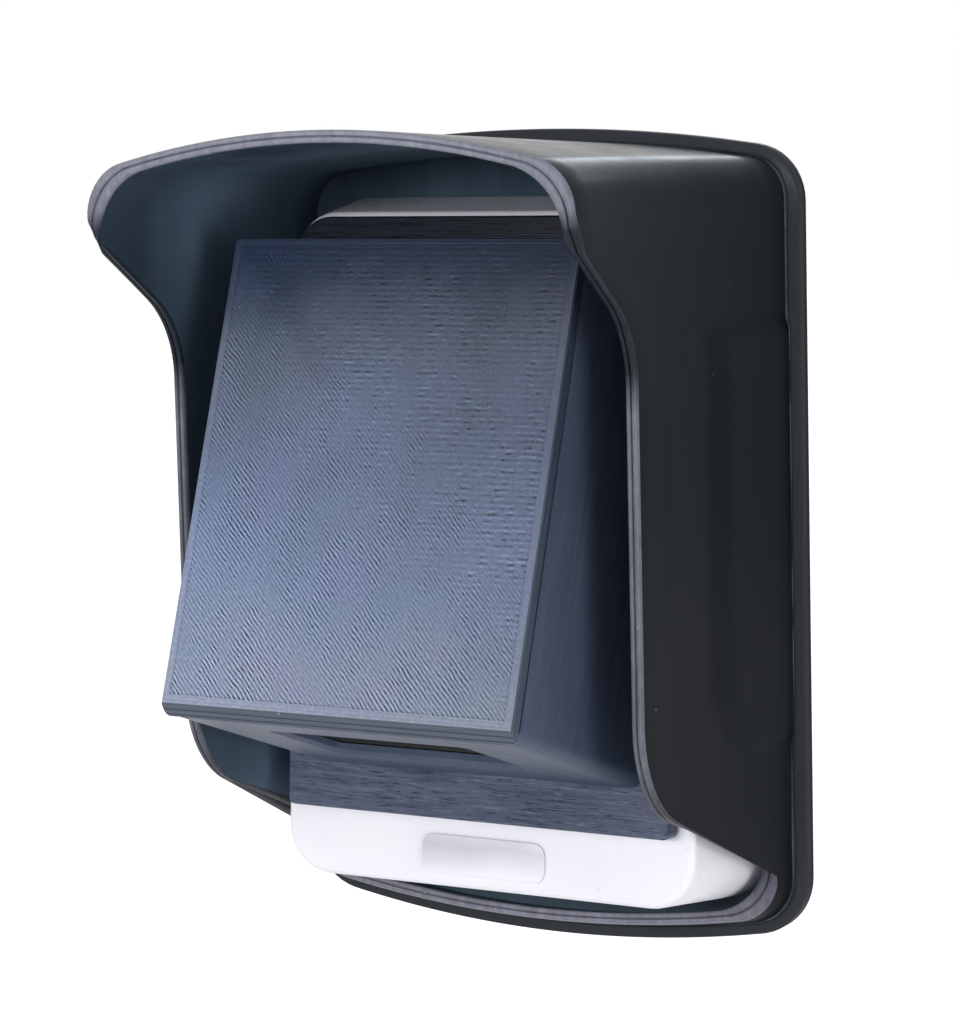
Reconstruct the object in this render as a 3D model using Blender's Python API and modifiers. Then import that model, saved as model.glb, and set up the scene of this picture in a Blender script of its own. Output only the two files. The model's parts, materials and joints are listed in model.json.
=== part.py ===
"""Wall reader for printed and screen codes, under a rain hood, as separate pieces.

X runs to the right, Y into the wall and Z up. The wall is the plane Y = 0, so a depth is measured
from the wall towards the viewer, along -Y. The origin is the middle of the hood's back face.
"""
import math

import bmesh
import bpy
from mathutils import Matrix, Vector

# Clearances and mesh density
GAP = 0.0003
OVERRUN = 0.002
ARCH_STEPS = 6
CORNER_STEPS = 5
BEND_STEPS = 5
ROUND_STEPS = 12
FINE_ROUND_STEPS = 20
MERGE_DISTANCE = 0.00001

# White reader: its front, which leans back towards its top, and how much wider its back is
READER_WIDTH = 0.1098
READER_HEIGHT = 0.1594
READER_CENTRE_HEIGHT = -0.0006
READER_FRONT_DEPTH = 0.0309
READER_LEAN_DEGREES = 4.4
READER_SIDE_FLARE = 0.0042
READER_TOP_FLARE = 0.0028
READER_BOTTOM_FLARE = 0.0042
READER_RADIUS = 0.0115
READER_BEVEL = 0.0012
READER_WALL = 0.0026

# Rain hood: flange against the wall, and how far it reaches past the reader
HOOD_SIDE_REACH = 0.0137
HOOD_END_REACH = 0.0182
FLANGE_THICKNESS = 0.0037
FLANGE_TOP_RISE = 0.0064
FLANGE_BOTTOM_DROP = 0.0081
FLANGE_TOP_RADIUS = 0.0134
FLANGE_BOTTOM_RADIUS = 0.0146
FLANGE_CHAMFER = 0.0007

# Rain hood: walls, visor and lip
FLANGE_LEDGE = 0.0031
HOOD_WALL = 0.0028
HOOD_BACK_THICKNESS = 0.0025
HOOD_ROOT_FILLET = 0.0012
HOOD_TOP_RISE = 0.0052
HOOD_BOTTOM_DROP = 0.007
HOOD_TOP_RADIUS = 0.010
HOOD_TOP_INNER_RADIUS = 0.010
HOOD_BOTTOM_RADIUS = 0.012
HOOD_BOTTOM_INNER_RADIUS = 0.016
VISOR_NARROWING = 0.0069
VISOR_DEPTH = 0.1002
VISOR_LIFT = 0.0047
VISOR_RISE = 0.0092
VISOR_RADIUS = 0.0121
VISOR_INNER_RADIUS = 0.0165
SIDE_EDGE_NARROWING = 0.0083
SIDE_EDGE_DEPTH = 0.0708
LIP_DEPTH = 0.012
LIP_LIFT = 0.0022

# Rain hood: corners of its front edge, seen from the side, below its top or above its bottom
VISOR_HEEL_DROP = 0.0234
VISOR_HEEL_RADIUS = 0.0127
UPPER_BEND_DROP = 0.0448
UPPER_BEND_RADIUS = 0.0228
LOWER_BEND_LIFT = 0.0463
LOWER_BEND_RADIUS = 0.0265
LIP_BEND_LIFT = 0.0213
LIP_BEND_RADIUS = 0.008
# Double bead along the edge: how far in and how far back, as shares of the wall
RIM_BEAD_SHARES = ((0.0, 0.35), (0.1, 0.08), (0.28, 0.0), (0.42, 0.0), (0.5, 0.16), (0.58, 0.0),
                   (0.8, 0.0), (0.93, 0.1), (1.0, 0.35))
WALL_RUN_SHARES = (0.33, 0.66)

# Sealing ring in the back of the hood
SEAL_GROOVE_INSET = 0.0045
SEAL_GROOVE_WIDTH = 0.0032
SEAL_GROOVE_DEPTH = 0.0016
SEAL_RING_RECESS = 0.0001

# Cable entry through the hood's back
CABLE_ENTRY_HEIGHT = 0.024
CABLE_ENTRY_RADIUS = 0.008
GROMMET_COLLAR = 0.0022
GROMMET_COLLAR_THICKNESS = 0.0011
GROMMET_MEMBRANE = 0.001
GROMMET_CONE_RADIUS = 0.0035
GROMMET_CONE_HEIGHT = 0.0024

# Reader's rear base, bosses and seal
REAR_BASE_DEPTH = 0.0043
REAR_BASE_THICKNESS = 0.0025
REAR_BASE_COUNTERBORE = 0.0012
BOSS_RADIUS = 0.0037
BOSS_SIDE_MARGIN = 0.01085
BOSS_END_MARGIN = 0.01625
HOUSING_SEAL_SIDE = 0.0016

# Wall bracket and its hooks
BRACKET_THICKNESS = 0.0012
BRACKET_WIDTH = 0.062
BRACKET_TOP = 0.060
BRACKET_BOTTOM = -0.052
BRACKET_RADIUS = 0.004
BRACKET_SCREW_ACROSS = 0.024
BRACKET_SCREW_TOP = 0.046
BRACKET_SCREW_BOTTOM = -0.040
WALL_HOLE_RADIUS = 0.0023
WALL_HOLE_ACROSS = 0.0105
WALL_HOLE_TOP = 0.052
WALL_HOLE_BOTTOM = -0.046
CABLE_WINDOW_WIDTH = 0.026
CABLE_WINDOW_HEIGHT = 0.024
CABLE_WINDOW_RADIUS = 0.003
HOOK_WIDTH = 0.009
HOOK_ACROSS = 0.022
HOOK_HEIGHT = 0.0565
HOOK_LIFT = 0.0045
TONGUE_WIDTH = 0.012
TONGUE_REACH = 0.008

# Screws: thread, head and lengths
SCREW_SHANK_RADIUS = 0.0014
SCREW_HEAD_RADIUS = 0.0028
SCREW_HEAD_HEIGHT = 0.002
SCREW_SLOT_RADIUS = 0.0013
SCREW_SLOT_DEPTH = 0.0009
SCREW_TIP = 0.0008
HOUSING_SCREW_BITE = 0.009
WEDGE_SCREW_BITE = 0.0075
SECURITY_SCREW_LENGTH = 0.0051
HEAD_FLAT_SHARE = 0.82
HEAD_CROWN_SHARE = 0.6

# Main board and what it carries
BOARD_THICKNESS = 0.0016
BOARD_DEPTH = 0.014
BOARD_BOSS_CLEARANCE = 0.0018
BOARD_END_MARGIN = 0.01775
BOARD_RADIUS = 0.002
STANDOFF_RADIUS = 0.0032
STANDOFF_MARGIN = 0.005
PROCESSOR_SIDE = 0.010
PROCESSOR_HEIGHT = 0.0014
PROCESSOR_ACROSS = -0.018
PROCESSOR_UP = -0.010
RADIO_WIDTH = 0.016
RADIO_LENGTH = 0.020
RADIO_HEIGHT = 0.0024
RADIO_ACROSS = -0.019
RADIO_UP = 0.024
RELAY_WIDTH = 0.0155
RELAY_LENGTH = 0.019
RELAY_HEIGHT = 0.0115
RELAY_ACROSS = 0.020
RELAY_UP = -0.020
BUZZER_RADIUS = 0.006
BUZZER_HEIGHT = 0.0085
BUZZER_PORT_RADIUS = 0.001
BUZZER_PORT_DEPTH = 0.001
BUZZER_ACROSS = 0.020
BUZZER_UP = 0.026
SOCKET_WIDTH = 0.0125
SOCKET_LENGTH = 0.0075
SOCKET_HEIGHT = 0.006
TERMINAL_WIDTH = 0.0203
TERMINAL_LENGTH = 0.0075
TERMINAL_HEIGHT = 0.0065
TERMINAL_PORT_RADIUS = 0.0011
TERMINAL_PORT_DEPTH = 0.0025
TERMINAL_PORTS = 4
TERMINAL_PORT_SPACING = 0.0046

# Antenna coil board behind the reader's front
COIL_SIDE_MARGIN = 0.001
COIL_END_MARGIN = 0.014
COIL_BAND = 0.008
COIL_RADIUS = 0.008
COIL_THICKNESS = 0.001

# Two small switches on the back of the main board, and the pieces that travel in them
SWITCH_SIDE = 0.007
TAMPER_ACROSS = -0.020
TAMPER_UP = -0.028
TAMPER_SWITCH_HEIGHT = 0.006
TAMPER_BORE_DEPTH = 0.0045
PLUNGER_RADIUS = 0.0016
PLUNGER_SEAT = 0.0021
RESET_ACROSS = 0.020
RESET_UP = -0.028
RESET_SWITCH_HEIGHT = 0.0045
RESET_BORE_DEPTH = 0.0026
RESET_RADIUS = 0.0013
RESET_SEAT = 0.0016
RESET_PROUD = 0.001
SWITCH_CLEARANCE = 0.0006

# Plaque on the chin, adapter plate and the pad behind it
PLAQUE_WIDTH = 0.0332
PLAQUE_HEIGHT = 0.0095
PLAQUE_THICKNESS = 0.0004
PLAQUE_RADIUS = 0.003
PLAQUE_CENTRE_HEIGHT = -0.0727
PLATE_SIDE_MARGIN = 0.0062
PLATE_TOP_MARGIN = 0.0009
PLATE_HEIGHT = 0.1416
PLATE_TOP_RADIUS = 0.010
PLATE_BOTTOM_RADIUS = 0.0015
PLATE_THICKNESS = 0.0055
PAD_POCKET_INSET = 0.007
PAD_POCKET_DEPTH = 0.0011
PAD_THICKNESS = 0.0005

# Wedge: its lower front edge, its tilt and its walls; its underside lies below its flat face
WEDGE_WIDTH = 0.0901
WEDGE_TOP_DROP = 0.0033
WEDGE_TILT_DEGREES = 19.5
WEDGE_EDGE_DEPTH = 0.1014
WEDGE_EDGE_LIFT = 0.03615
WEDGE_CHIN = 0.0026
WEDGE_CHIN_DEPTH = 0.0028
CHIN_REACH_SHARE = 1.0
WEDGE_WALL = 0.0024
WEDGE_LOWER_RADIUS = 0.004
WEDGE_CORNER_RADIUS = 0.0012
COVER_THICKNESS = 0.0035
COVER_LIP_HEIGHT = 0.003
COVER_LIP_WALL = 0.0016
WEDGE_BOSS_RADIUS = 0.0034
WEDGE_BOSS_LENGTH = 0.010
WEDGE_BOSS_SINK = 0.0008
WEDGE_BOSS_TOP_MARGIN = 0.0245
WEDGE_BOSS_BOTTOM_MARGIN = 0.0231

# Scan window in the wedge's underside
WINDOW_WIDTH = 0.050
WINDOW_LENGTH = 0.030
WINDOW_SETBACK = 0.016
WINDOW_RADIUS = 0.002
WINDOW_SEAL_WIDTH = 0.003
WINDOW_SEAL_THICKNESS = 0.0008
WINDOW_PANE_THICKNESS = 0.0015
WINDOW_OVERLAP = 0.0025

# Scan engine over the window
STAND_SIDE_MARGIN = 0.0055
STAND_LENGTH = 0.028
STAND_HEIGHT = 0.026
STAND_SHEET = 0.0015
ENGINE_WIDTH = 0.0215
ENGINE_LENGTH = 0.014
ENGINE_HEIGHT = 0.0117
ENGINE_BEVEL = 0.0006
ENGINE_EAR_WIDTH = 0.007
ENGINE_EAR_THICKNESS = 0.0022
ENGINE_VIEW_WIDTH = 0.0195
ENGINE_VIEW_LENGTH = 0.0105
BARREL_RADIUS = 0.0036
BARREL_BORE_RADIUS = 0.0027
BARREL_HEIGHT = 0.005
BARREL_FLOOR = 0.0012
LENS_HEIGHT = 0.0016
LENS_CROWN = 0.0005
LIGHT_RADIUS = 0.0019
LIGHT_HEIGHT = 0.0024
LIGHT_DOME = 0.0012
LIGHT_ACROSS = 0.0068
AIMER_RADIUS = 0.0009
AIMER_HEIGHT = 0.0016
AIMER_BACK = 0.0038
ENGINE_SCREW_LENGTH = 0.0026

# Decoder board on the front of the adapter plate
DECODER_WIDTH = 0.054
DECODER_HEIGHT = 0.036
DECODER_CENTRE_HEIGHT = 0.024
DECODER_STANDOFF = 0.004
DECODER_STANDOFF_RADIUS = 0.0026
DECODER_STANDOFF_ACROSS = 0.022
DECODER_STANDOFF_UP = 0.013
DECODER_CHIP_SIDE = 0.012
DECODER_CHIP_HEIGHT = 0.0015
DECODER_CHIP_ACROSS = 0.014
RIBBON_WIDTH = 0.009
RIBBON_THICKNESS = 0.0006
RIBBON_SLACK = 0.006
RIBBON_STEPS = 12

# Cable between the decoder board and the main board
LINK_RADIUS = 0.0018
LINK_HOLE_RADIUS = 0.006
LINK_BEVEL_RESOLUTION = 2
LINK_POINTS = 17
LINK_DROP = 0.003

# Sizes and places worked out from those above
TILT = math.radians(WEDGE_TILT_DEGREES)
LEAN_ANGLE = math.radians(READER_LEAN_DEGREES)
LEAN_SLOPE = math.tan(LEAN_ANGLE)
FLANGE_WIDTH = READER_WIDTH + 2 * HOOD_SIDE_REACH
FLANGE_HEIGHT = READER_HEIGHT + 2 * HOOD_END_REACH
VISOR_WIDTH = FLANGE_WIDTH - 2 * VISOR_NARROWING
SIDE_EDGE_WIDTH = FLANGE_WIDTH - 2 * SIDE_EDGE_NARROWING
HOOD_HALF_WIDTH = FLANGE_WIDTH / 2 - FLANGE_LEDGE
HOOD_TOP = FLANGE_HEIGHT / 2 - FLANGE_LEDGE
HOOD_BOTTOM = -HOOD_TOP
BRACKET_DEPTH = HOOD_BACK_THICKNESS + GAP
READER_BACK_DEPTH = HOOD_BACK_THICKNESS + GAP
READER_INNER_DEPTH = READER_FRONT_DEPTH - READER_WALL
READER_TOP = READER_CENTRE_HEIGHT + READER_HEIGHT / 2
READER_BOTTOM = READER_CENTRE_HEIGHT - READER_HEIGHT / 2
READER_TOP_DEPTH = READER_FRONT_DEPTH - LEAN_SLOPE * READER_HEIGHT / 2
READER_BOTTOM_DEPTH = READER_FRONT_DEPTH + LEAN_SLOPE * READER_HEIGHT / 2
BOSS_ACROSS = READER_WIDTH / 2 - BOSS_SIDE_MARGIN
BOSS_UP = READER_HEIGHT / 2 - BOSS_END_MARGIN
BOARD_WIDTH = 2 * (BOSS_ACROSS - BOSS_RADIUS - BOARD_BOSS_CLEARANCE)
BOARD_HEIGHT = READER_HEIGHT - 2 * BOARD_END_MARGIN
STANDOFF_ACROSS = BOARD_WIDTH / 2 - STANDOFF_MARGIN
STANDOFF_UP = BOARD_HEIGHT / 2 - STANDOFF_MARGIN
COIL_WIDTH = BOARD_WIDTH - 2 * COIL_SIDE_MARGIN
COIL_HEIGHT = BOARD_HEIGHT - 2 * COIL_END_MARGIN
REAR_BASE_FRONT = REAR_BASE_DEPTH + REAR_BASE_THICKNESS
BOARD_FRONT = BOARD_DEPTH + BOARD_THICKNESS
PLATE_BACK = READER_FRONT_DEPTH + GAP
PLATE_FRONT = PLATE_BACK + PLATE_THICKNESS
PLATE_WIDTH = WEDGE_WIDTH + 2 * PLATE_SIDE_MARGIN
PLATE_TOP = READER_TOP - PLATE_TOP_MARGIN
PLATE_BOTTOM = PLATE_TOP - PLATE_HEIGHT
PLATE_CENTRE_HEIGHT = PLATE_TOP - PLATE_HEIGHT / 2
WEDGE_BACK = PLATE_FRONT + GAP
WEDGE_EDGE_HEIGHT = PLATE_BOTTOM + WEDGE_EDGE_LIFT
WEDGE_BOSS_TOP = PLATE_TOP - WEDGE_BOSS_TOP_MARGIN
WEDGE_BOSS_BOTTOM = PLATE_BOTTOM + WEDGE_BOSS_BOTTOM_MARGIN
WEDGE_FRAME = (Matrix.Translation((0, -WEDGE_EDGE_DEPTH, WEDGE_EDGE_HEIGHT))
               @ Matrix.Rotation(-TILT, 4, "X"))
FLOOR_FRAME = WEDGE_FRAME @ Matrix.Translation((0, 0, -WEDGE_CHIN))
WEDGE_FACE_LENGTH = (PLATE_HEIGHT - WEDGE_EDGE_LIFT - WEDGE_TOP_DROP) / math.cos(TILT)
STAND_WIDTH = WINDOW_WIDTH + 2 * (WINDOW_OVERLAP + STAND_SIDE_MARGIN)
WINDOW_MIDDLE = WINDOW_SETBACK + WINDOW_LENGTH / 2
ENGINE_SEAT = WEDGE_WALL + GAP + STAND_HEIGHT + GAP
ENGINE_UNDERSIDE = ENGINE_SEAT + ENGINE_BEVEL
DECODER_BACK = PLATE_FRONT + DECODER_STANDOFF + GAP
DECODER_FRONT = DECODER_BACK + BOARD_THICKNESS
TAMPER_PLACE = (TAMPER_ACROSS, READER_CENTRE_HEIGHT + TAMPER_UP)
RESET_PLACE = (RESET_ACROSS, READER_CENTRE_HEIGHT + RESET_UP)
BRACKET_SCREW_SPOTS = [(side * BRACKET_SCREW_ACROSS, up) for up in (BRACKET_SCREW_TOP, BRACKET_SCREW_BOTTOM)
                       for side in (-1, 1)]
WALL_HOLE_SPOTS = [(side * WALL_HOLE_ACROSS, up) for up in (WALL_HOLE_TOP, WALL_HOLE_BOTTOM)
                   for side in (-1, 1)]
BOSS_SPOTS = [(side * BOSS_ACROSS, READER_CENTRE_HEIGHT + end * BOSS_UP) for end in (1, -1)
              for side in (-1, 1)]
STANDOFF_SPOTS = [(side * STANDOFF_ACROSS, READER_CENTRE_HEIGHT + end * STANDOFF_UP) for end in (1, -1)
                  for side in (-1, 1)]
WEDGE_BOSS_ACROSS = WEDGE_WIDTH / 2 - WEDGE_WALL - WEDGE_BOSS_RADIUS + WEDGE_BOSS_SINK
WEDGE_BOSS_SPOTS = [(side * WEDGE_BOSS_ACROSS, up) for up in (WEDGE_BOSS_TOP, WEDGE_BOSS_BOTTOM)
                    for side in (-1, 1)]
DECODER_SPOTS = [(side * DECODER_STANDOFF_ACROSS, DECODER_CENTRE_HEIGHT + end * DECODER_STANDOFF_UP)
                 for end in (1, -1) for side in (-1, 1)]

# A flat outline drawn across and up faces the viewer after this turn
FACING_VIEWER = Matrix.Rotation(math.pi / 2, 4, "X")
# A flat outline drawn back and up stands on edge, its thickness across, after this turn
ON_EDGE = Matrix(((0, 0, 1, 0), (1, 0, 0, 0), (0, 1, 0, 0), (0, 0, 0, 1)))
# A turned piece's top points at the viewer or at the wall after these turns
TOP_TO_VIEWER = Matrix.Rotation(math.pi / 2, 4, "X")
TOP_TO_WALL = Matrix.Rotation(-math.pi / 2, 4, "X")


def place(across, depth, up):
    """Point in space from a distance across, a depth from the wall and a height."""
    return Vector((across, -depth, up))


# What sits on the reader's front is laid out upright, then leans with it about the front's middle
FACE_MIDDLE = place(0, READER_FRONT_DEPTH, READER_CENTRE_HEIGHT)
LEAN = (Matrix.Translation(FACE_MIDDLE) @ Matrix.Rotation(-LEAN_ANGLE, 4, "X")
        @ Matrix.Translation(-FACE_MIDDLE))


def leaned(mesh):
    """Mesh turned so that it leans with the reader's front."""
    mesh.transform(LEAN)
    return mesh


def start_scene():
    """Empty scene with one collection for the pieces and one for the cutters."""
    for item in list(bpy.data.objects):
        bpy.data.objects.remove(item)
    groups = []
    for title in ("code_reader", "cutters"):
        group = bpy.data.collections.new(title)
        bpy.context.scene.collection.children.link(group)
        groups.append(group)
    return groups


PIECES, CUTTERS = start_scene()


def finish(name, colour, roughness, metallic=0.0):
    """Principled material for one piece."""
    material = bpy.data.materials.new(name + "_finish")
    material.use_nodes = True
    shader = material.node_tree.nodes["Principled BSDF"]
    shader.inputs["Base Color"].default_value = (*colour, 1)
    shader.inputs["Roughness"].default_value = roughness
    shader.inputs["Metallic"].default_value = metallic
    return material


BLACK_GLOSS = ((0.018, 0.021, 0.027), 0.16)
WHITE_PLASTIC = ((0.86, 0.86, 0.88), 0.35)
PALE_GREY = ((0.66, 0.67, 0.69), 0.45)
PRINTED_BLUE = ((0.055, 0.075, 0.13), 0.5)
BLACK_RUBBER = ((0.02, 0.02, 0.02), 0.85)
FOAM = ((0.03, 0.03, 0.03), 0.95)
STEEL = ((0.55, 0.56, 0.58), 0.35, 1.0)
BRASS = ((0.72, 0.55, 0.25), 0.35, 1.0)
BOARD_GREEN = ((0.02, 0.12, 0.05), 0.45)
CHIP_BLACK = ((0.03, 0.03, 0.035), 0.5)
CLEAR_PANE = ((0.05, 0.055, 0.06), 0.05)
LAMP_WHITE = ((0.9, 0.9, 0.85), 0.15)
TERMINAL_GREEN = ((0.05, 0.3, 0.12), 0.45)
COPPER = ((0.7, 0.35, 0.2), 0.35, 1.0)
RIBBON_ORANGE = ((0.5, 0.25, 0.06), 0.4)


def piece(name, mesh, look):
    """Object in the pieces' collection, made of a mesh and a look."""
    body = bpy.data.objects.new(name, mesh)
    PIECES.objects.link(body)
    mesh.materials.clear()
    mesh.materials.append(finish(name, *look))
    return body


def tool(name, mesh):
    """Hidden object that cuts or joins."""
    body = bpy.data.objects.new(name, mesh)
    CUTTERS.objects.link(body)
    body.hide_render = True
    body.display_type = "WIRE"
    return body


def combine(target, mesh, operation):
    """Boolean of a helper mesh on a piece."""
    helper = tool(target.name + "_tool", mesh)
    step = target.modifiers.new("combine", "BOOLEAN")
    step.operation = operation
    step.object = helper
    step.solver = "EXACT"


def cut(target, *meshes):
    """Take the meshes' volumes away from the piece."""
    for mesh in meshes:
        combine(target, mesh, "DIFFERENCE")


def join(target, *meshes):
    """Add the meshes' volumes to the piece."""
    for mesh in meshes:
        combine(target, mesh, "UNION")


def mesh_from(shape, name):
    """Mesh data from a bmesh, with its faces pointing out."""
    bmesh.ops.recalc_face_normals(shape, faces=shape.faces)
    mesh = bpy.data.meshes.new(name)
    shape.to_mesh(mesh)
    shape.free()
    return mesh


def evaluated_mesh(data, name):
    """Mesh of a curve's data as Blender evaluates it, with its loose caps welded."""
    carrier = bpy.data.objects.new(name, data)
    bpy.context.scene.collection.objects.link(carrier)
    graph = bpy.context.evaluated_depsgraph_get()
    mesh = bpy.data.meshes.new_from_object(carrier.evaluated_get(graph))
    bpy.data.objects.remove(carrier)
    shape = bmesh.new()
    shape.from_mesh(mesh)
    bmesh.ops.remove_doubles(shape, verts=shape.verts, dist=MERGE_DISTANCE)
    return mesh_from(shape, name)


def slab(outlines, thickness, matrix):
    """Flat plate of a given thickness from closed outlines, centred on its own plane."""
    curve = bpy.data.curves.new("outline", "CURVE")
    curve.dimensions = "2D"
    curve.fill_mode = "BOTH"
    curve.extrude = thickness / 2
    for points in outlines:
        spline = curve.splines.new("POLY")
        spline.points.add(len(points) - 1)
        for spot, (across, up) in zip(spline.points, points):
            spot.co = (across, up, 0, 1)
        spline.use_cyclic_u = True
    mesh = evaluated_mesh(curve, "slab")
    mesh.transform(matrix)
    return mesh


def facing_slab(outlines, back, thickness):
    """Flat plate parallel to the wall, from its back's depth outwards."""
    matrix = Matrix.Translation((0, -(back + thickness / 2), 0)) @ FACING_VIEWER
    return slab(outlines, thickness, matrix)


def rounded_rectangle(width, height, radius, centre=(0, 0), lower_radius=None):
    """Closed outline of a rectangle with round corners; the lower two may differ."""
    low = radius if lower_radius is None else lower_radius
    corners = ((1, 1, radius, 0), (-1, 1, radius, 1), (-1, -1, low, 2), (1, -1, low, 3))
    points = []
    for side, end, bend, quarter in corners:
        middle = (centre[0] + side * (width / 2 - bend), centre[1] + end * (height / 2 - bend))
        for step in range(CORNER_STEPS + 1):
            angle = (quarter + step / CORNER_STEPS) * math.pi / 2
            points.append((middle[0] + bend * math.cos(angle), middle[1] + bend * math.sin(angle)))
    return points


def circle(centre, radius, steps=ROUND_STEPS):
    """Closed outline of a circle."""
    turns = [step * 2 * math.pi / steps for step in range(steps)]
    return [(centre[0] + radius * math.cos(turn), centre[1] + radius * math.sin(turn)) for turn in turns]


def block(size, centre, matrix=Matrix(), bevel=0, bevel_steps=1):
    """Box of a size at a centre, its edges bevelled where asked."""
    shape = bmesh.new()
    bmesh.ops.create_cube(shape, size=1)
    bmesh.ops.scale(shape, vec=size, verts=shape.verts)
    if bevel:
        bmesh.ops.bevel(shape, geom=shape.edges[:], offset=bevel, segments=bevel_steps, affect="EDGES")
    bmesh.ops.translate(shape, vec=centre, verts=shape.verts)
    bmesh.ops.transform(shape, matrix=matrix, verts=shape.verts)
    return mesh_from(shape, "block")


def board_block(across, up, back, size):
    """Box standing on a board: size is its width, height and thickness away from the wall."""
    width, height, thickness = size
    return block((width, thickness, height), place(across, back + thickness / 2, up))


def rod(centre, radius, back, front, steps=ROUND_STEPS):
    """Cylinder square to the wall between two depths."""
    shape = bmesh.new()
    bmesh.ops.create_cone(shape, cap_ends=True, segments=steps, radius1=radius, radius2=radius,
                          depth=front - back)
    turn = Matrix.Translation(place(centre[0], (back + front) / 2, centre[1])) @ TOP_TO_VIEWER
    bmesh.ops.transform(shape, matrix=turn, verts=shape.verts)
    return mesh_from(shape, "rod")


def turned(name, profile, matrix, look, steps=ROUND_STEPS):
    """Piece turned about its own Z from a profile of radius and height, top to bottom."""
    mesh = bpy.data.meshes.new(name)
    spots = [(radius, 0, height) for radius, height in profile]
    mesh.from_pydata(spots, [(index, index + 1) for index in range(len(spots) - 1)], [])
    body = piece(name, mesh, look)
    body.matrix_world = matrix
    turn = body.modifiers.new("turn", "SCREW")
    turn.steps = steps
    turn.render_steps = steps
    turn.use_merge_vertices = True
    turn.merge_threshold = MERGE_DISTANCE
    turn.use_smooth_shade = False
    return body


def screw(name, length, matrix, look=STEEL):
    """Pan head screw whose head sits on its own zero height."""
    profile = [
        (0, SCREW_HEAD_HEIGHT - SCREW_SLOT_DEPTH),
        (SCREW_SLOT_RADIUS, SCREW_HEAD_HEIGHT),
        (SCREW_HEAD_RADIUS * HEAD_FLAT_SHARE, SCREW_HEAD_HEIGHT),
        (SCREW_HEAD_RADIUS, SCREW_HEAD_HEIGHT * HEAD_CROWN_SHARE),
        (SCREW_HEAD_RADIUS, 0),
        (SCREW_SHANK_RADIUS, 0),
        (SCREW_SHANK_RADIUS, SCREW_TIP - length),
        (0, -length),
    ]
    return turned(name, profile, matrix, look)


def crown(half_width, height, sag, radius):
    """Half of an arched end: a shallow arch from the middle, then a round corner into the side."""
    lean = math.atan(2 * sag / half_width)
    centre_up = height - sag + radius * (math.tan(lean) - 1 / math.cos(lean))
    centre_across = half_width - radius
    join_across = centre_across + radius * math.sin(lean)
    join_up = centre_up + radius * math.cos(lean)
    points = []
    for step in range(ARCH_STEPS):
        share = step / ARCH_STEPS
        points.append((join_across * share, height - (height - join_up) * share ** 2))
    for step in range(CORNER_STEPS + 1):
        angle = (math.pi / 2 - lean) * (1 - step / CORNER_STEPS)
        points.append((centre_across + radius * math.cos(angle), centre_up + radius * math.sin(angle)))
    return points


def bend(before, corner, after, radius):
    """Arc that rounds a corner of a path, as points."""
    start = (Vector(before) - Vector(corner)).normalized()
    end = (Vector(after) - Vector(corner)).normalized()
    half_angle = start.angle(end) / 2
    middle = Vector(corner) + (start + end).normalized() * radius / math.sin(half_angle)
    first = Vector(corner) + start * radius / math.tan(half_angle) - middle
    last = Vector(corner) + end * radius / math.tan(half_angle) - middle
    points = []
    for step in range(BEND_STEPS + 1):
        spoke = first.lerp(last, step / BEND_STEPS)
        points.append(middle + spoke.normalized() * radius)
    return points


def front_edge_path():
    """The hood's front edge seen from the side, as (depth, height) points going down."""
    top = HOOD_TOP + VISOR_LIFT
    corners = [
        (VISOR_DEPTH, top),
        (VISOR_DEPTH, top - VISOR_HEEL_DROP),
        (SIDE_EDGE_DEPTH, top - UPPER_BEND_DROP),
        (SIDE_EDGE_DEPTH, HOOD_BOTTOM + LOWER_BEND_LIFT),
        (LIP_DEPTH, HOOD_BOTTOM + LIP_BEND_LIFT),
        (LIP_DEPTH, HOOD_BOTTOM),
    ]
    radii = (VISOR_HEEL_RADIUS, UPPER_BEND_RADIUS, LOWER_BEND_RADIUS, LIP_BEND_RADIUS)
    path = [Vector(corners[0])]
    for index, radius in enumerate(radii, start=1):
        path += bend(corners[index - 1], corners[index], corners[index + 1], radius)
    path.append(Vector(corners[-1]))
    return path


FRONT_EDGE = front_edge_path()


def front_edge_depth(up):
    """Depth of the hood's front edge at a height."""
    for above, below in zip(FRONT_EDGE, FRONT_EDGE[1:]):
        if above.y >= up >= below.y:
            share = (above.y - up) / (above.y - below.y)
            return above.x + (below.x - above.x) * share
    return FRONT_EDGE[0].x if up > FRONT_EDGE[0].y else FRONT_EDGE[-1].x


def inset_radius(outer, inner, inset):
    """Corner radius at an inset, between the wall's outer and its inner radius."""
    return outer + (inner - outer) * inset / HOOD_WALL


def side_heights():
    """Heights of the front edge's bends that lie on the straight sides at every depth."""
    inset = HOOD_WALL + HOOD_ROOT_FILLET
    half_width = HOOD_HALF_WIDTH - inset
    root = crown(half_width, HOOD_TOP - inset, HOOD_TOP_RISE,
                 inset_radius(HOOD_TOP_RADIUS, HOOD_TOP_INNER_RADIUS, inset))
    visor = crown(VISOR_WIDTH / 2 - inset, HOOD_TOP + VISOR_LIFT - inset, VISOR_RISE,
                  inset_radius(VISOR_RADIUS, VISOR_INNER_RADIUS, inset))
    lip = crown(half_width, -HOOD_BOTTOM - LIP_LIFT - inset, HOOD_BOTTOM_DROP,
                inset_radius(HOOD_BOTTOM_RADIUS, HOOD_BOTTOM_INNER_RADIUS, inset))
    top = min(root[-1][1], visor[-1][1])
    return [spot.y for spot in reversed(FRONT_EDGE) if -lip[-1][1] < spot.y < top]


SIDE_HEIGHTS = side_heights()


def hood_outline(half_width, top, bottom, rise, drop, top_radius, bottom_radius):
    """Closed outline of the hood at one depth, from the middle of its bottom round by the right."""
    low = [(across, -up) for across, up in crown(half_width, -bottom, drop, bottom_radius)]
    high = crown(half_width, top, rise, top_radius)
    right = low + [(half_width, up) for up in SIDE_HEIGHTS] + high[::-1]
    left = [(-across, up) for across, up in right[-2:0:-1]]
    return right + left


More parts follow.
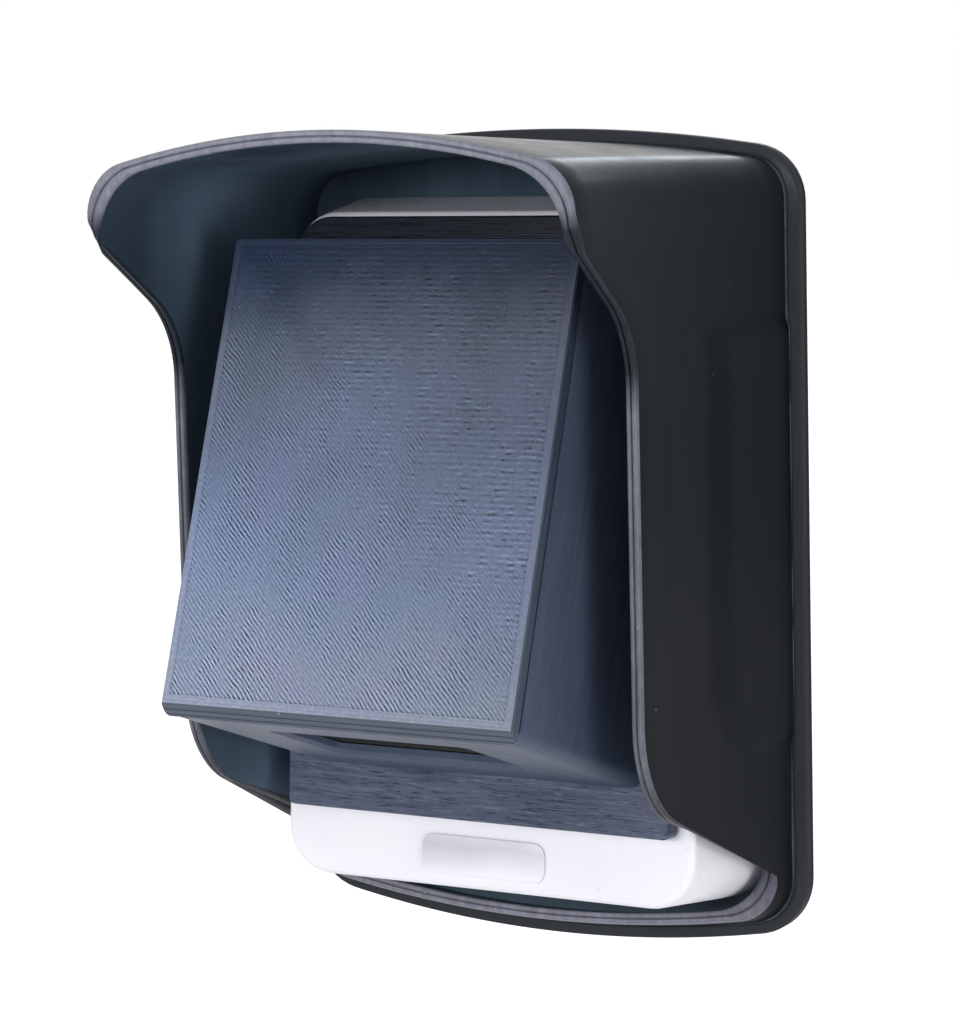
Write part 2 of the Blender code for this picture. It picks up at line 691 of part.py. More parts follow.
def flange_outline(inset):
    """The flange's outline, drawn in by an inset."""
    return hood_outline(FLANGE_WIDTH / 2 - inset, FLANGE_HEIGHT / 2 - inset, inset - FLANGE_HEIGHT / 2,
                        FLANGE_TOP_RISE, FLANGE_BOTTOM_DROP, FLANGE_TOP_RADIUS - inset,
                        FLANGE_BOTTOM_RADIUS - inset)


def through_three(value, spots):
    """Smooth curve through three spots, read at a value."""
    total = 0
    for here, height in spots:
        weight = 1
        for other, _ in spots:
            if other != here:
                weight *= (value - other) / (here - other)
        total += height * weight
    return total


def wall_outline(depth, inset):
    """The hood wall's outline at a depth, drawn in by an inset."""
    reach = (depth - FLANGE_THICKNESS) / (VISOR_DEPTH - FLANGE_THICKNESS)
    lip_reach = min(1, (depth - FLANGE_THICKNESS) / (LIP_DEPTH - FLANGE_THICKNESS))
    half_width = through_three(depth, ((FLANGE_THICKNESS, HOOD_HALF_WIDTH),
                                       (SIDE_EDGE_DEPTH, SIDE_EDGE_WIDTH / 2),
                                       (VISOR_DEPTH, VISOR_WIDTH / 2)))
    rise = HOOD_TOP_RISE + (VISOR_RISE - HOOD_TOP_RISE) * reach
    root_radius = inset_radius(HOOD_TOP_RADIUS, HOOD_TOP_INNER_RADIUS, inset)
    visor_radius = inset_radius(VISOR_RADIUS, VISOR_INNER_RADIUS, inset)
    return hood_outline(half_width - inset, HOOD_TOP + VISOR_LIFT * reach - inset,
                        HOOD_BOTTOM + LIP_LIFT * lip_reach + inset, rise, HOOD_BOTTOM_DROP,
                        root_radius + (visor_radius - root_radius) * reach,
                        inset_radius(HOOD_BOTTOM_RADIUS, HOOD_BOTTOM_INNER_RADIUS, inset))


def column_edge_depths():
    """Depth of the front edge for each point of the wall's outline."""
    depths = []
    for index in range(len(wall_outline(LIP_DEPTH, 0))):
        depth = LIP_DEPTH
        for _ in range(BEND_STEPS):
            depth = front_edge_depth(wall_outline(depth, 0)[index][1])
        depths.append(depth)
    return depths


def hood_loops():
    """Loops from the back of the flange, out along the wall, over the rim and back inside."""
    edge_depths = column_edge_depths()

    def flat(outline, depth):
        return [place(across, depth, up) for across, up in outline]

    def standing(inset, depth_of):
        loop = []
        for index, edge in enumerate(edge_depths):
            depth = depth_of(edge)
            across, up = wall_outline(depth, inset)[index]
            loop.append(place(across, depth, up))
        return loop

    def on_way(share, start):
        return lambda edge: start + (edge - HOOD_WALL - start) * share

    loops = [
        flat(flange_outline(0), 0),
        flat(flange_outline(0), FLANGE_THICKNESS - FLANGE_CHAMFER),
        flat(flange_outline(FLANGE_CHAMFER), FLANGE_THICKNESS),
        flat(wall_outline(FLANGE_THICKNESS, -FLANGE_CHAMFER), FLANGE_THICKNESS),
        flat(wall_outline(FLANGE_THICKNESS + FLANGE_CHAMFER, 0), FLANGE_THICKNESS + FLANGE_CHAMFER),
    ]
    for share in WALL_RUN_SHARES:
        loops.append(standing(0, on_way(share, FLANGE_THICKNESS + FLANGE_CHAMFER)))
    for in_share, back_share in RIM_BEAD_SHARES:
        loops.append(standing(in_share * HOOD_WALL, lambda edge, back=back_share * HOOD_WALL: edge - back))
    inner_start = HOOD_BACK_THICKNESS + HOOD_ROOT_FILLET
    for share in reversed(WALL_RUN_SHARES):
        loops.append(standing(HOOD_WALL, on_way(share, inner_start)))
    loops.append(flat(wall_outline(inner_start, HOOD_WALL), inner_start))
    loops.append(flat(wall_outline(HOOD_BACK_THICKNESS, HOOD_WALL + HOOD_ROOT_FILLET), HOOD_BACK_THICKNESS))
    return loops


def loft(loops):
    """Closed solid through loops of equal length, with a flat cap at each end."""
    shape = bmesh.new()
    rings = [[shape.verts.new(point) for point in loop] for loop in loops]
    for first, second in zip(rings, rings[1:]):
        for index, corner in enumerate(first):
            after = (index + 1) % len(first)
            shape.faces.new((corner, first[after], second[after], second[index]))
    shape.faces.new(reversed(rings[0]))
    shape.faces.new(rings[-1])
    return mesh_from(shape, "loft")


def seal_ring_outlines(clearance):
    """Outer and inner outline of the ring behind the flange, drawn in by a clearance."""
    return [flange_outline(SEAL_GROOVE_INSET + clearance),
            flange_outline(SEAL_GROOVE_INSET + SEAL_GROOVE_WIDTH - clearance)]


def make_hood():
    """Moulded rain hood with its sealing ring and the grommet in its back."""
    hood = piece("rain_hood", loft(hood_loops()), BLACK_GLOSS)
    cut(hood, facing_slab(seal_ring_outlines(0), -OVERRUN, OVERRUN + SEAL_GROOVE_DEPTH))
    cut(hood, rod((0, CABLE_ENTRY_HEIGHT), CABLE_ENTRY_RADIUS, -OVERRUN, HOOD_BACK_THICKNESS + OVERRUN,
                  FINE_ROUND_STEPS))
    for spot in BRACKET_SCREW_SPOTS:
        cut(hood, rod(spot, SCREW_SHANK_RADIUS + GAP, -OVERRUN, HOOD_BACK_THICKNESS + OVERRUN))
    for spot in WALL_HOLE_SPOTS:
        cut(hood, rod(spot, WALL_HOLE_RADIUS, -OVERRUN, HOOD_BACK_THICKNESS + OVERRUN))
    piece("wall_seal", facing_slab(seal_ring_outlines(GAP), SEAL_RING_RECESS,
                                   SEAL_GROOVE_DEPTH - SEAL_RING_RECESS - GAP), FOAM)
    neck = CABLE_ENTRY_RADIUS - GAP
    collar = CABLE_ENTRY_RADIUS + GROMMET_COLLAR
    seat = HOOD_BACK_THICKNESS + GAP
    profile = [
        (0, seat + GROMMET_MEMBRANE + GROMMET_CONE_HEIGHT),
        (GROMMET_CONE_RADIUS, seat + GROMMET_MEMBRANE),
        (collar, seat + GROMMET_COLLAR_THICKNESS),
        (collar, seat),
        (neck, seat),
        (neck, GAP),
        (GROMMET_CONE_RADIUS, GAP),
        (0, GROMMET_CONE_HEIGHT),
    ]
    turned("cable_grommet", profile, Matrix.Translation((0, 0, CABLE_ENTRY_HEIGHT)) @ TOP_TO_VIEWER,
           BLACK_RUBBER, FINE_ROUND_STEPS)


def make_bracket():
    """Steel bracket on the hood's back, with two hooks, a tongue below and its screws."""
    centre_up = (BRACKET_TOP + BRACKET_BOTTOM) / 2
    outline = rounded_rectangle(BRACKET_WIDTH, BRACKET_TOP - BRACKET_BOTTOM, BRACKET_RADIUS, (0, centre_up))
    window = rounded_rectangle(CABLE_WINDOW_WIDTH, CABLE_WINDOW_HEIGHT, CABLE_WINDOW_RADIUS,
                               (0, CABLE_ENTRY_HEIGHT))
    holes = [circle(spot, SCREW_SHANK_RADIUS + GAP) for spot in BRACKET_SCREW_SPOTS]
    holes += [circle(spot, WALL_HOLE_RADIUS) for spot in WALL_HOLE_SPOTS]
    bracket = piece("wall_bracket", facing_slab([outline, window] + holes, BRACKET_DEPTH,
                                                BRACKET_THICKNESS), STEEL)
    hook_front = REAR_BASE_FRONT + GAP + BRACKET_THICKNESS
    for side in (-1, 1):
        across = side * HOOK_ACROSS
        stem_depth = hook_front - BRACKET_DEPTH
        join(bracket, block((HOOK_WIDTH, stem_depth, BRACKET_THICKNESS),
                            place(across, BRACKET_DEPTH + stem_depth / 2, HOOK_HEIGHT)))
        join(bracket, block((HOOK_WIDTH, BRACKET_THICKNESS, HOOK_LIFT),
                            place(across, hook_front - BRACKET_THICKNESS / 2,
                                  HOOK_HEIGHT - BRACKET_THICKNESS / 2 + HOOK_LIFT / 2)))
    tongue_bottom = tongue_underside()
    tongue_height = BRACKET_BOTTOM + OVERRUN - tongue_bottom
    join(bracket, block((TONGUE_WIDTH, BRACKET_THICKNESS, tongue_height),
                        place(0, BRACKET_DEPTH + BRACKET_THICKNESS / 2, tongue_bottom + tongue_height / 2)))
    join(bracket, block((TONGUE_WIDTH, TONGUE_REACH, BRACKET_THICKNESS),
                        place(0, BRACKET_DEPTH + TONGUE_REACH / 2, tongue_bottom + BRACKET_THICKNESS / 2)))
    cut(bracket, security_screw_hole(SCREW_SHANK_RADIUS + GAP, OVERRUN))
    head_depth = BRACKET_DEPTH + BRACKET_THICKNESS + GAP
    for index, (across, up) in enumerate(BRACKET_SCREW_SPOTS, start=1):
        screw(f"bracket_screw_{index}", head_depth - GAP,
              Matrix.Translation(place(across, head_depth, up)) @ TOP_TO_VIEWER)


def reader_underside(depth):
    """Height of the reader's bottom at a depth: lower towards the wall, as its walls flare."""
    way = (READER_BOTTOM_DEPTH - depth) / (READER_BOTTOM_DEPTH - READER_BACK_DEPTH)
    return READER_BOTTOM - READER_BOTTOM_FLARE * way


def tongue_underside():
    """Height of the tongue's underside, just above the reader's bottom wall."""
    return reader_underside(BRACKET_DEPTH + TONGUE_REACH) + READER_WALL + GAP


def security_screw_hole(radius, reach):
    """Upright cutter round the security screw, through the tongue and the reader's bottom wall."""
    bottom = reader_underside(security_screw_depth()) - reach
    length = tongue_underside() + BRACKET_THICKNESS + reach - bottom
    shape = bmesh.new()
    bmesh.ops.create_cone(shape, cap_ends=True, segments=ROUND_STEPS, radius1=radius, radius2=radius,
                          depth=length)
    middle = place(0, security_screw_depth(), bottom + length / 2)
    bmesh.ops.translate(shape, vec=middle, verts=shape.verts)
    return mesh_from(shape, "screw_hole")


def security_screw_depth():
    """Depth of the security screw's axis, in the middle of the tongue's free end."""
    return BRACKET_DEPTH + BRACKET_THICKNESS + (TONGUE_REACH - BRACKET_THICKNESS) / 2


def front_depth(up):
    """Depth of the reader's front at a height."""
    return READER_FRONT_DEPTH - LEAN_SLOPE * (up - READER_CENTRE_HEIGHT)


def shape_reader(shape):
    """Flare a straight block towards the wall and lean its front."""
    depth = READER_FRONT_DEPTH - READER_BACK_DEPTH
    for vert in shape.verts:
        way = (-vert.co.y - READER_BACK_DEPTH) / depth
        up = vert.co.z - READER_CENTRE_HEIGHT
        vert.co.y = -READER_BACK_DEPTH - way * (depth - LEAN_SLOPE * up)
        vert.co.x += vert.co.x * READER_SIDE_FLARE * (1 - way) / (READER_WIDTH / 2)
        end_flare = READER_TOP_FLARE if up > 0 else READER_BOTTOM_FLARE
        vert.co.z += up * end_flare * (1 - way) / (READER_HEIGHT / 2)


def inside_outline(depth, inset=0):
    """Outline that fits inside the front shell at a depth with a gap, drawn in by an inset."""
    way = (READER_TOP_DEPTH - depth) / (READER_TOP_DEPTH - READER_BACK_DEPTH)
    margin = READER_WALL + GAP + inset
    width = READER_WIDTH + 2 * (READER_SIDE_FLARE * way - margin)
    height = READER_HEIGHT + (READER_TOP_FLARE + READER_BOTTOM_FLARE) * way - 2 * margin
    centre = READER_CENTRE_HEIGHT + (READER_TOP_FLARE - READER_BOTTOM_FLARE) * way / 2
    radius = READER_RADIUS * (width + 2 * margin) / READER_WIDTH - margin
    return rounded_rectangle(width, height, radius, (0, centre))


def make_reader_shells():
    """White front shell, its rear base, the seal between them, their screws and the security screw."""
    start = READER_BACK_DEPTH - OVERRUN
    depth = READER_FRONT_DEPTH - start
    shape = bmesh.new()
    bmesh.ops.create_cube(shape, size=1)
    bmesh.ops.scale(shape, vec=(READER_WIDTH, depth, READER_HEIGHT), verts=shape.verts)
    bmesh.ops.translate(shape, vec=place(0, start + depth / 2, READER_CENTRE_HEIGHT), verts=shape.verts)
    upright = [edge for edge in shape.edges if abs((edge.verts[0].co - edge.verts[1].co).y) > depth / 2]
    bmesh.ops.bevel(shape, geom=upright, offset=READER_RADIUS, segments=CORNER_STEPS + 1, affect="EDGES",
                    profile=0.5)
    middle = -(start + READER_FRONT_DEPTH) / 2
    front = [edge for edge in shape.edges if all(vert.co.y < middle for vert in edge.verts)]
    bmesh.ops.bevel(shape, geom=front, offset=READER_BEVEL, segments=2, affect="EDGES", profile=0.5)
    back = [face for face in shape.faces if all(vert.co.y > middle for vert in face.verts)]
    bmesh.ops.delete(shape, geom=back, context="FACES")
    shape_reader(shape)
    front_shell = piece("front_shell", mesh_from(shape, "front_shell"), WHITE_PLASTIC)
    thicken = front_shell.modifiers.new("wall", "SOLIDIFY")
    thicken.thickness = READER_WALL
    thicken.offset = -1
    thicken.use_even_offset = True
    cut(front_shell, block((2 * READER_WIDTH, 2 * OVERRUN, 2 * READER_HEIGHT),
                           place(0, start, READER_CENTRE_HEIGHT)))
    boss_back = REAR_BASE_FRONT + GAP
    for spot in BOSS_SPOTS:
        join(front_shell, rod(spot, BOSS_RADIUS, boss_back, front_depth(spot[1]) - READER_WALL / 2))
        cut(front_shell, rod(spot, SCREW_SHANK_RADIUS + GAP, boss_back - OVERRUN,
                             boss_back + HOUSING_SCREW_BITE + GAP))
    cut(front_shell, leaned(rod((0, DECODER_CENTRE_HEIGHT), LINK_HOLE_RADIUS, READER_INNER_DEPTH - OVERRUN,
                                READER_FRONT_DEPTH + OVERRUN)))
    cut(front_shell, security_screw_hole(SCREW_SHANK_RADIUS + GAP, OVERRUN))

    outline = inside_outline(REAR_BASE_FRONT)
    window = rounded_rectangle(CABLE_WINDOW_WIDTH, CABLE_WINDOW_HEIGHT, CABLE_WINDOW_RADIUS,
                               (0, CABLE_ENTRY_HEIGHT))
    holes = [circle(spot, SCREW_HEAD_RADIUS + GAP) for spot in BRACKET_SCREW_SPOTS]
    holes.append(circle(TAMPER_PLACE, PLUNGER_RADIUS + SWITCH_CLEARANCE))
    holes.append(circle(RESET_PLACE, RESET_RADIUS + SWITCH_CLEARANCE))
    rear = piece("rear_base", facing_slab([outline, window] + holes, REAR_BASE_DEPTH, REAR_BASE_THICKNESS),
                 PALE_GREY)
    for spot in BOSS_SPOTS:
        cut(rear, rod(spot, SCREW_HEAD_RADIUS + GAP, REAR_BASE_DEPTH - OVERRUN,
                      REAR_BASE_DEPTH + REAR_BASE_COUNTERBORE))
        cut(rear, rod(spot, SCREW_SHANK_RADIUS + GAP, REAR_BASE_DEPTH, REAR_BASE_FRONT + OVERRUN))
    slot_height = HOOK_LIFT + BRACKET_THICKNESS
    for side in (-1, 1):
        cut(rear, block((HOOK_WIDTH + 2 * GAP, REAR_BASE_THICKNESS + 2 * OVERRUN, slot_height),
                        place(side * HOOK_ACROSS, REAR_BASE_DEPTH + REAR_BASE_THICKNESS / 2,
                              HOOK_HEIGHT + BRACKET_THICKNESS / 2 + GAP - slot_height / 2)))
    notch_top = tongue_underside() + BRACKET_THICKNESS + GAP
    notch_height = notch_top - reader_underside(READER_BACK_DEPTH)
    notch_middle = notch_top - notch_height / 2
    cut(rear, block((TONGUE_WIDTH + 2 * GAP, REAR_BASE_THICKNESS + 2 * OVERRUN, notch_height),
                    place(0, REAR_BASE_DEPTH + REAR_BASE_THICKNESS / 2, notch_middle)))
    for spot in STANDOFF_SPOTS:
        join(rear, rod(spot, STANDOFF_RADIUS, REAR_BASE_DEPTH + REAR_BASE_THICKNESS / 2, BOARD_DEPTH - GAP))
        cut(rear, rod(spot, SCREW_SHANK_RADIUS + GAP, REAR_BASE_FRONT, BOARD_DEPTH + OVERRUN))

    seal_back = REAR_BASE_FRONT + GAP
    seal_front = seal_back + HOUSING_SEAL_SIDE
    seal = facing_slab([inside_outline(seal_front), inside_outline(seal_front, HOUSING_SEAL_SIDE)], seal_back,
                       HOUSING_SEAL_SIDE)
    seal_piece = piece("housing_seal", seal, BLACK_RUBBER)
    cut(seal_piece, block((TONGUE_WIDTH + 2 * GAP, HOUSING_SEAL_SIDE + 2 * OVERRUN,
                           notch_height + 2 * HOUSING_SEAL_SIDE),
                          place(0, seal_back + HOUSING_SEAL_SIDE / 2, notch_middle)))

    head_depth = REAR_BASE_DEPTH + REAR_BASE_COUNTERBORE - GAP
    for index, (across, up) in enumerate(BOSS_SPOTS, start=1):
        screw(f"housing_screw_{index}", boss_back + HOUSING_SCREW_BITE - head_depth,
              Matrix.Translation(place(across, head_depth, up)) @ TOP_TO_WALL)
    screw_seat = reader_underside(security_screw_depth() - SCREW_HEAD_RADIUS) - GAP
    screw("security_screw", SECURITY_SCREW_LENGTH,
          Matrix.Translation(place(0, security_screw_depth(), screw_seat)) @ Matrix.Rotation(math.pi, 4, "X"))


def make_main_board():
    """Main board on the rear base, with everything it carries and its screws."""
    centre = (0, READER_CENTRE_HEIGHT)
    outline = rounded_rectangle(BOARD_WIDTH, BOARD_HEIGHT, BOARD_RADIUS, centre)
    holes = [circle(spot, SCREW_SHANK_RADIUS + GAP) for spot in STANDOFF_SPOTS]
    piece("main_board", facing_slab([outline] + holes, BOARD_DEPTH, BOARD_THICKNESS), BOARD_GREEN)
    head_depth = BOARD_FRONT + GAP
    for index, (across, up) in enumerate(STANDOFF_SPOTS, start=1):
        screw(f"board_screw_{index}", head_depth - REAR_BASE_FRONT - GAP,
              Matrix.Translation(place(across, head_depth, up)) @ TOP_TO_VIEWER, BRASS)
    seat = BOARD_FRONT + GAP
    mid = READER_CENTRE_HEIGHT
    piece("processor", board_block(PROCESSOR_ACROSS, mid + PROCESSOR_UP, seat,
                                   (PROCESSOR_SIDE, PROCESSOR_SIDE, PROCESSOR_HEIGHT)), CHIP_BLACK)
    piece("radio_module", board_block(RADIO_ACROSS, mid + RADIO_UP, seat,
                                      (RADIO_WIDTH, RADIO_LENGTH, RADIO_HEIGHT)), STEEL)
    piece("relay", board_block(RELAY_ACROSS, mid + RELAY_UP, seat,
                               (RELAY_WIDTH, RELAY_LENGTH, RELAY_HEIGHT)), CHIP_BLACK)
    piece("link_socket", board_block(0, DECODER_CENTRE_HEIGHT, seat,
                                     (SOCKET_WIDTH, SOCKET_LENGTH, SOCKET_HEIGHT)), WHITE_PLASTIC)
    profile = [
        (0, BUZZER_HEIGHT - BUZZER_PORT_DEPTH),
        (BUZZER_PORT_RADIUS, BUZZER_HEIGHT - BUZZER_PORT_DEPTH),
        (BUZZER_PORT_RADIUS, BUZZER_HEIGHT),
        (BUZZER_RADIUS, BUZZER_HEIGHT),
        (BUZZER_RADIUS, 0),
        (0, 0),
    ]
    turned("buzzer", profile, Matrix.Translation(place(BUZZER_ACROSS, seat, mid + BUZZER_UP)) @ TOP_TO_VIEWER,
           CHIP_BLACK, FINE_ROUND_STEPS)
    back = BOARD_DEPTH - GAP - TERMINAL_HEIGHT
    terminal = piece("terminal_block", board_block(0, CABLE_ENTRY_HEIGHT, back,
                                                   (TERMINAL_WIDTH, TERMINAL_LENGTH, TERMINAL_HEIGHT)),
                     TERMINAL_GREEN)
    for index in range(TERMINAL_PORTS):
        across = (index - (TERMINAL_PORTS - 1) / 2) * TERMINAL_PORT_SPACING
        cut(terminal, rod((across, CABLE_ENTRY_HEIGHT), TERMINAL_PORT_RADIUS, back - OVERRUN,
                          back + TERMINAL_PORT_DEPTH))
    coil_outer = rounded_rectangle(COIL_WIDTH, COIL_HEIGHT, COIL_RADIUS, centre)
    coil_inner = rounded_rectangle(COIL_WIDTH - 2 * COIL_BAND, COIL_HEIGHT - 2 * COIL_BAND,
                                   COIL_RADIUS / 2, centre)
    coil = facing_slab([coil_outer, coil_inner], READER_INNER_DEPTH - GAP - COIL_THICKNESS, COIL_THICKNESS)
    piece("antenna_coil", leaned(coil), COPPER)


def switch_body(name, spot, height, bore_radius, bore_depth):
    """Square switch on the back of the main board, with a blind bore facing the wall."""
    back = BOARD_DEPTH - GAP - height
    body = piece(name, board_block(spot[0], spot[1], back, (SWITCH_SIDE, SWITCH_SIDE, height)), CHIP_BLACK)
    cut(body, rod(spot, bore_radius, back - OVERRUN, back + bore_depth))
    return back


def make_switches():
    """Tamper switch and reset switch, each with the piece that travels in it."""
    back = switch_body("tamper_switch", TAMPER_PLACE, TAMPER_SWITCH_HEIGHT, PLUNGER_RADIUS + GAP,
                       TAMPER_BORE_DEPTH)
    start = BRACKET_DEPTH + BRACKET_THICKNESS + GAP
    length = back + PLUNGER_SEAT - start
    profile = [(0, length), (PLUNGER_RADIUS, length), (PLUNGER_RADIUS, SCREW_TIP),
               (PLUNGER_RADIUS * HEAD_FLAT_SHARE, 0), (0, 0)]
    turned("tamper_plunger", profile, Matrix.Translation(place(TAMPER_PLACE[0], start, TAMPER_PLACE[1]))
           @ TOP_TO_VIEWER, BRASS)
    back = switch_body("reset_switch", RESET_PLACE, RESET_SWITCH_HEIGHT, RESET_RADIUS + GAP,
                       RESET_BORE_DEPTH)
    start = back - RESET_PROUD
    length = RESET_PROUD + RESET_SEAT
    profile = [(0, length), (RESET_RADIUS, length), (RESET_RADIUS, SCREW_TIP),
               (RESET_RADIUS * HEAD_FLAT_SHARE, 0), (0, 0)]
    turned("reset_button", profile, Matrix.Translation(place(RESET_PLACE[0], start, RESET_PLACE[1]))
           @ TOP_TO_VIEWER, LAMP_WHITE)


def plate_outline(inset):
    """Outline of the adapter plate, drawn in by an inset."""
    top, bottom = [max(radius - inset, PLATE_BOTTOM_RADIUS)
                   for radius in (PLATE_TOP_RADIUS, PLATE_BOTTOM_RADIUS)]
    return rounded_rectangle(PLATE_WIDTH - 2 * inset, PLATE_HEIGHT - 2 * inset, top,
                             (0, PLATE_CENTRE_HEIGHT), bottom)


def make_plate():
    """Plaque on the chin, adapter plate with its tape pocket, the pad and the wedge's screws."""
    plaque = rounded_rectangle(PLAQUE_WIDTH, PLAQUE_HEIGHT, PLAQUE_RADIUS, (0, PLAQUE_CENTRE_HEIGHT))
    piece("chin_plaque", leaned(facing_slab([plaque], READER_FRONT_DEPTH + GAP, PLAQUE_THICKNESS)), PALE_GREY)
    link_hole = circle((0, DECODER_CENTRE_HEIGHT), LINK_HOLE_RADIUS)
    holes = [circle(spot, SCREW_SHANK_RADIUS + GAP) for spot in WEDGE_BOSS_SPOTS]
    plate = piece("adapter_plate", leaned(facing_slab([plate_outline(0), link_hole] + holes, PLATE_BACK,
                                                      PLATE_THICKNESS)), PRINTED_BLUE)
    cut(plate, leaned(facing_slab([plate_outline(PAD_POCKET_INSET)], PLATE_BACK - OVERRUN,
                                  OVERRUN + PAD_POCKET_DEPTH)))
    sink = PAD_POCKET_DEPTH + SCREW_HEAD_HEIGHT + GAP
    for spot in WEDGE_BOSS_SPOTS:
        cut(plate, leaned(rod(spot, SCREW_HEAD_RADIUS + GAP, PLATE_BACK - OVERRUN, PLATE_BACK + sink)))
    for spot in DECODER_SPOTS:
        join(plate, leaned(rod(spot, DECODER_STANDOFF_RADIUS, PLATE_BACK + PLATE_THICKNESS / 2,
                               DECODER_BACK - GAP)))
    pad_holes = [circle(spot, SCREW_HEAD_RADIUS + GAP) for spot in WEDGE_BOSS_SPOTS]
    pad = facing_slab([plate_outline(PAD_POCKET_INSET + GAP), link_hole] + pad_holes, PLATE_BACK, PAD_THICKNESS)
    piece("adhesive_pad", leaned(pad), FOAM)
    head_depth = PLATE_BACK + sink - GAP
    for index, (across, up) in enumerate(WEDGE_BOSS_SPOTS, start=1):
        screw(f"wedge_screw_{index}", WEDGE_BACK + WEDGE_SCREW_BITE - head_depth,
              LEAN @ Matrix.Translation(place(across, head_depth, up)) @ TOP_TO_WALL)


def wedge_ring(inset, lower_radius):
    """Outline of the wedge seen square to its front face, drawn in by an inset."""
    upper, lower = [max(radius - inset, WEDGE_CORNER_RADIUS / 2)
                    for radius in (WEDGE_CORNER_RADIUS, lower_radius)]
    return rounded_rectangle(WEDGE_WIDTH - 2 * inset, WEDGE_FACE_LENGTH + WEDGE_CHIN - 2 * inset, upper,
                             (0, (WEDGE_FACE_LENGTH - WEDGE_CHIN) / 2), lower)


def wedge_slab(outlines, start, thickness):
    """Slab parallel to the wedge's front face, from a distance behind that face."""
    matrix = WEDGE_FRAME @ Matrix.Translation((0, start + thickness / 2, 0)) @ FACING_VIEWER
    return slab(outlines, thickness, matrix)


def wedge_floor_slab(outlines, height, thickness):
    """Slab parallel to the wedge's underside, from a distance above that face."""
    return slab(outlines, thickness, FLOOR_FRAME @ Matrix.Translation((0, 0, height + thickness / 2)))


def make_wedge():
    """Printed wedge housing and the cover that closes its front."""
    start = COVER_THICKNESS + GAP
    run = (WEDGE_EDGE_DEPTH - WEDGE_BACK) / math.cos(TILT) + WEDGE_WALL
    rings = [wedge_ring(0, WEDGE_LOWER_RADIUS), wedge_ring(WEDGE_WALL, WEDGE_LOWER_RADIUS)]
    housing = piece("wedge_housing", wedge_slab(rings, start, run - start), PRINTED_BLUE)
    for spot in WEDGE_BOSS_SPOTS:
        join(housing, leaned(rod(spot, WEDGE_BOSS_RADIUS, WEDGE_BACK, WEDGE_BACK + WEDGE_BOSS_LENGTH)))
        cut(housing, leaned(rod(spot, SCREW_SHANK_RADIUS + GAP, WEDGE_BACK - OVERRUN,
                                WEDGE_BACK + WEDGE_SCREW_BITE + GAP)))
    behind = WEDGE_EDGE_DEPTH
    cut(housing, leaned(block((WEDGE_WIDTH + 2 * OVERRUN, behind, 2 * WEDGE_FACE_LENGTH),
                              place(0, WEDGE_BACK - behind / 2, WEDGE_EDGE_HEIGHT))))
    opening = rounded_rectangle(WINDOW_WIDTH, WINDOW_LENGTH, WINDOW_RADIUS, (0, WINDOW_MIDDLE))
    cut(housing, wedge_floor_slab([opening], -OVERRUN, WEDGE_WALL + 2 * OVERRUN))

    cover = piece("front_cover", wedge_slab([wedge_ring(0, WEDGE_CORNER_RADIUS)], 0, COVER_THICKNESS),
                  PRINTED_BLUE)
    inset = WEDGE_WALL + GAP
    lip = wedge_slab([wedge_ring(inset, WEDGE_LOWER_RADIUS),
                      wedge_ring(inset + COVER_LIP_WALL, WEDGE_LOWER_RADIUS)], COVER_THICKNESS / 2,
                     COVER_THICKNESS / 2 + COVER_LIP_HEIGHT)
    join(cover, lip)
    ahead = -CHIN_REACH_SHARE * WEDGE_CHIN_DEPTH
    below = -(1 + CHIN_REACH_SHARE) * WEDGE_CHIN
    bevel = [(ahead, CHIN_REACH_SHARE * WEDGE_CHIN), (ahead, below),
             ((1 + CHIN_REACH_SHARE) * WEDGE_CHIN_DEPTH, below)]
    cut(cover, slab([bevel], WEDGE_WIDTH + 2 * OVERRUN, WEDGE_FRAME @ ON_EDGE))


def make_scan_window():
    """Dark clear pane over the opening in the underside, on its seal."""
    centre = (0, WINDOW_MIDDLE)
    width = WINDOW_WIDTH + 2 * WINDOW_OVERLAP
    length = WINDOW_LENGTH + 2 * WINDOW_OVERLAP
    outer = rounded_rectangle(width, length, WINDOW_RADIUS, centre)
    inner = rounded_rectangle(width - 2 * WINDOW_SEAL_WIDTH, length - 2 * WINDOW_SEAL_WIDTH, WINDOW_RADIUS,
                              centre)
    seat = WEDGE_WALL + GAP
    piece("window_seal", wedge_floor_slab([outer, inner], seat, WINDOW_SEAL_THICKNESS), BLACK_RUBBER)
    seat += WINDOW_SEAL_THICKNESS + GAP
    piece("scan_window", wedge_floor_slab([outer], seat, WINDOW_PANE_THICKNESS), CLEAR_PANE)


def stand_matrix(across, back, height):
    """Place in the wedge, turned so that a turned piece's top faces the scan window."""
    return FLOOR_FRAME @ Matrix.Translation((across, back, height)) @ Matrix.Rotation(math.pi, 4, "X")


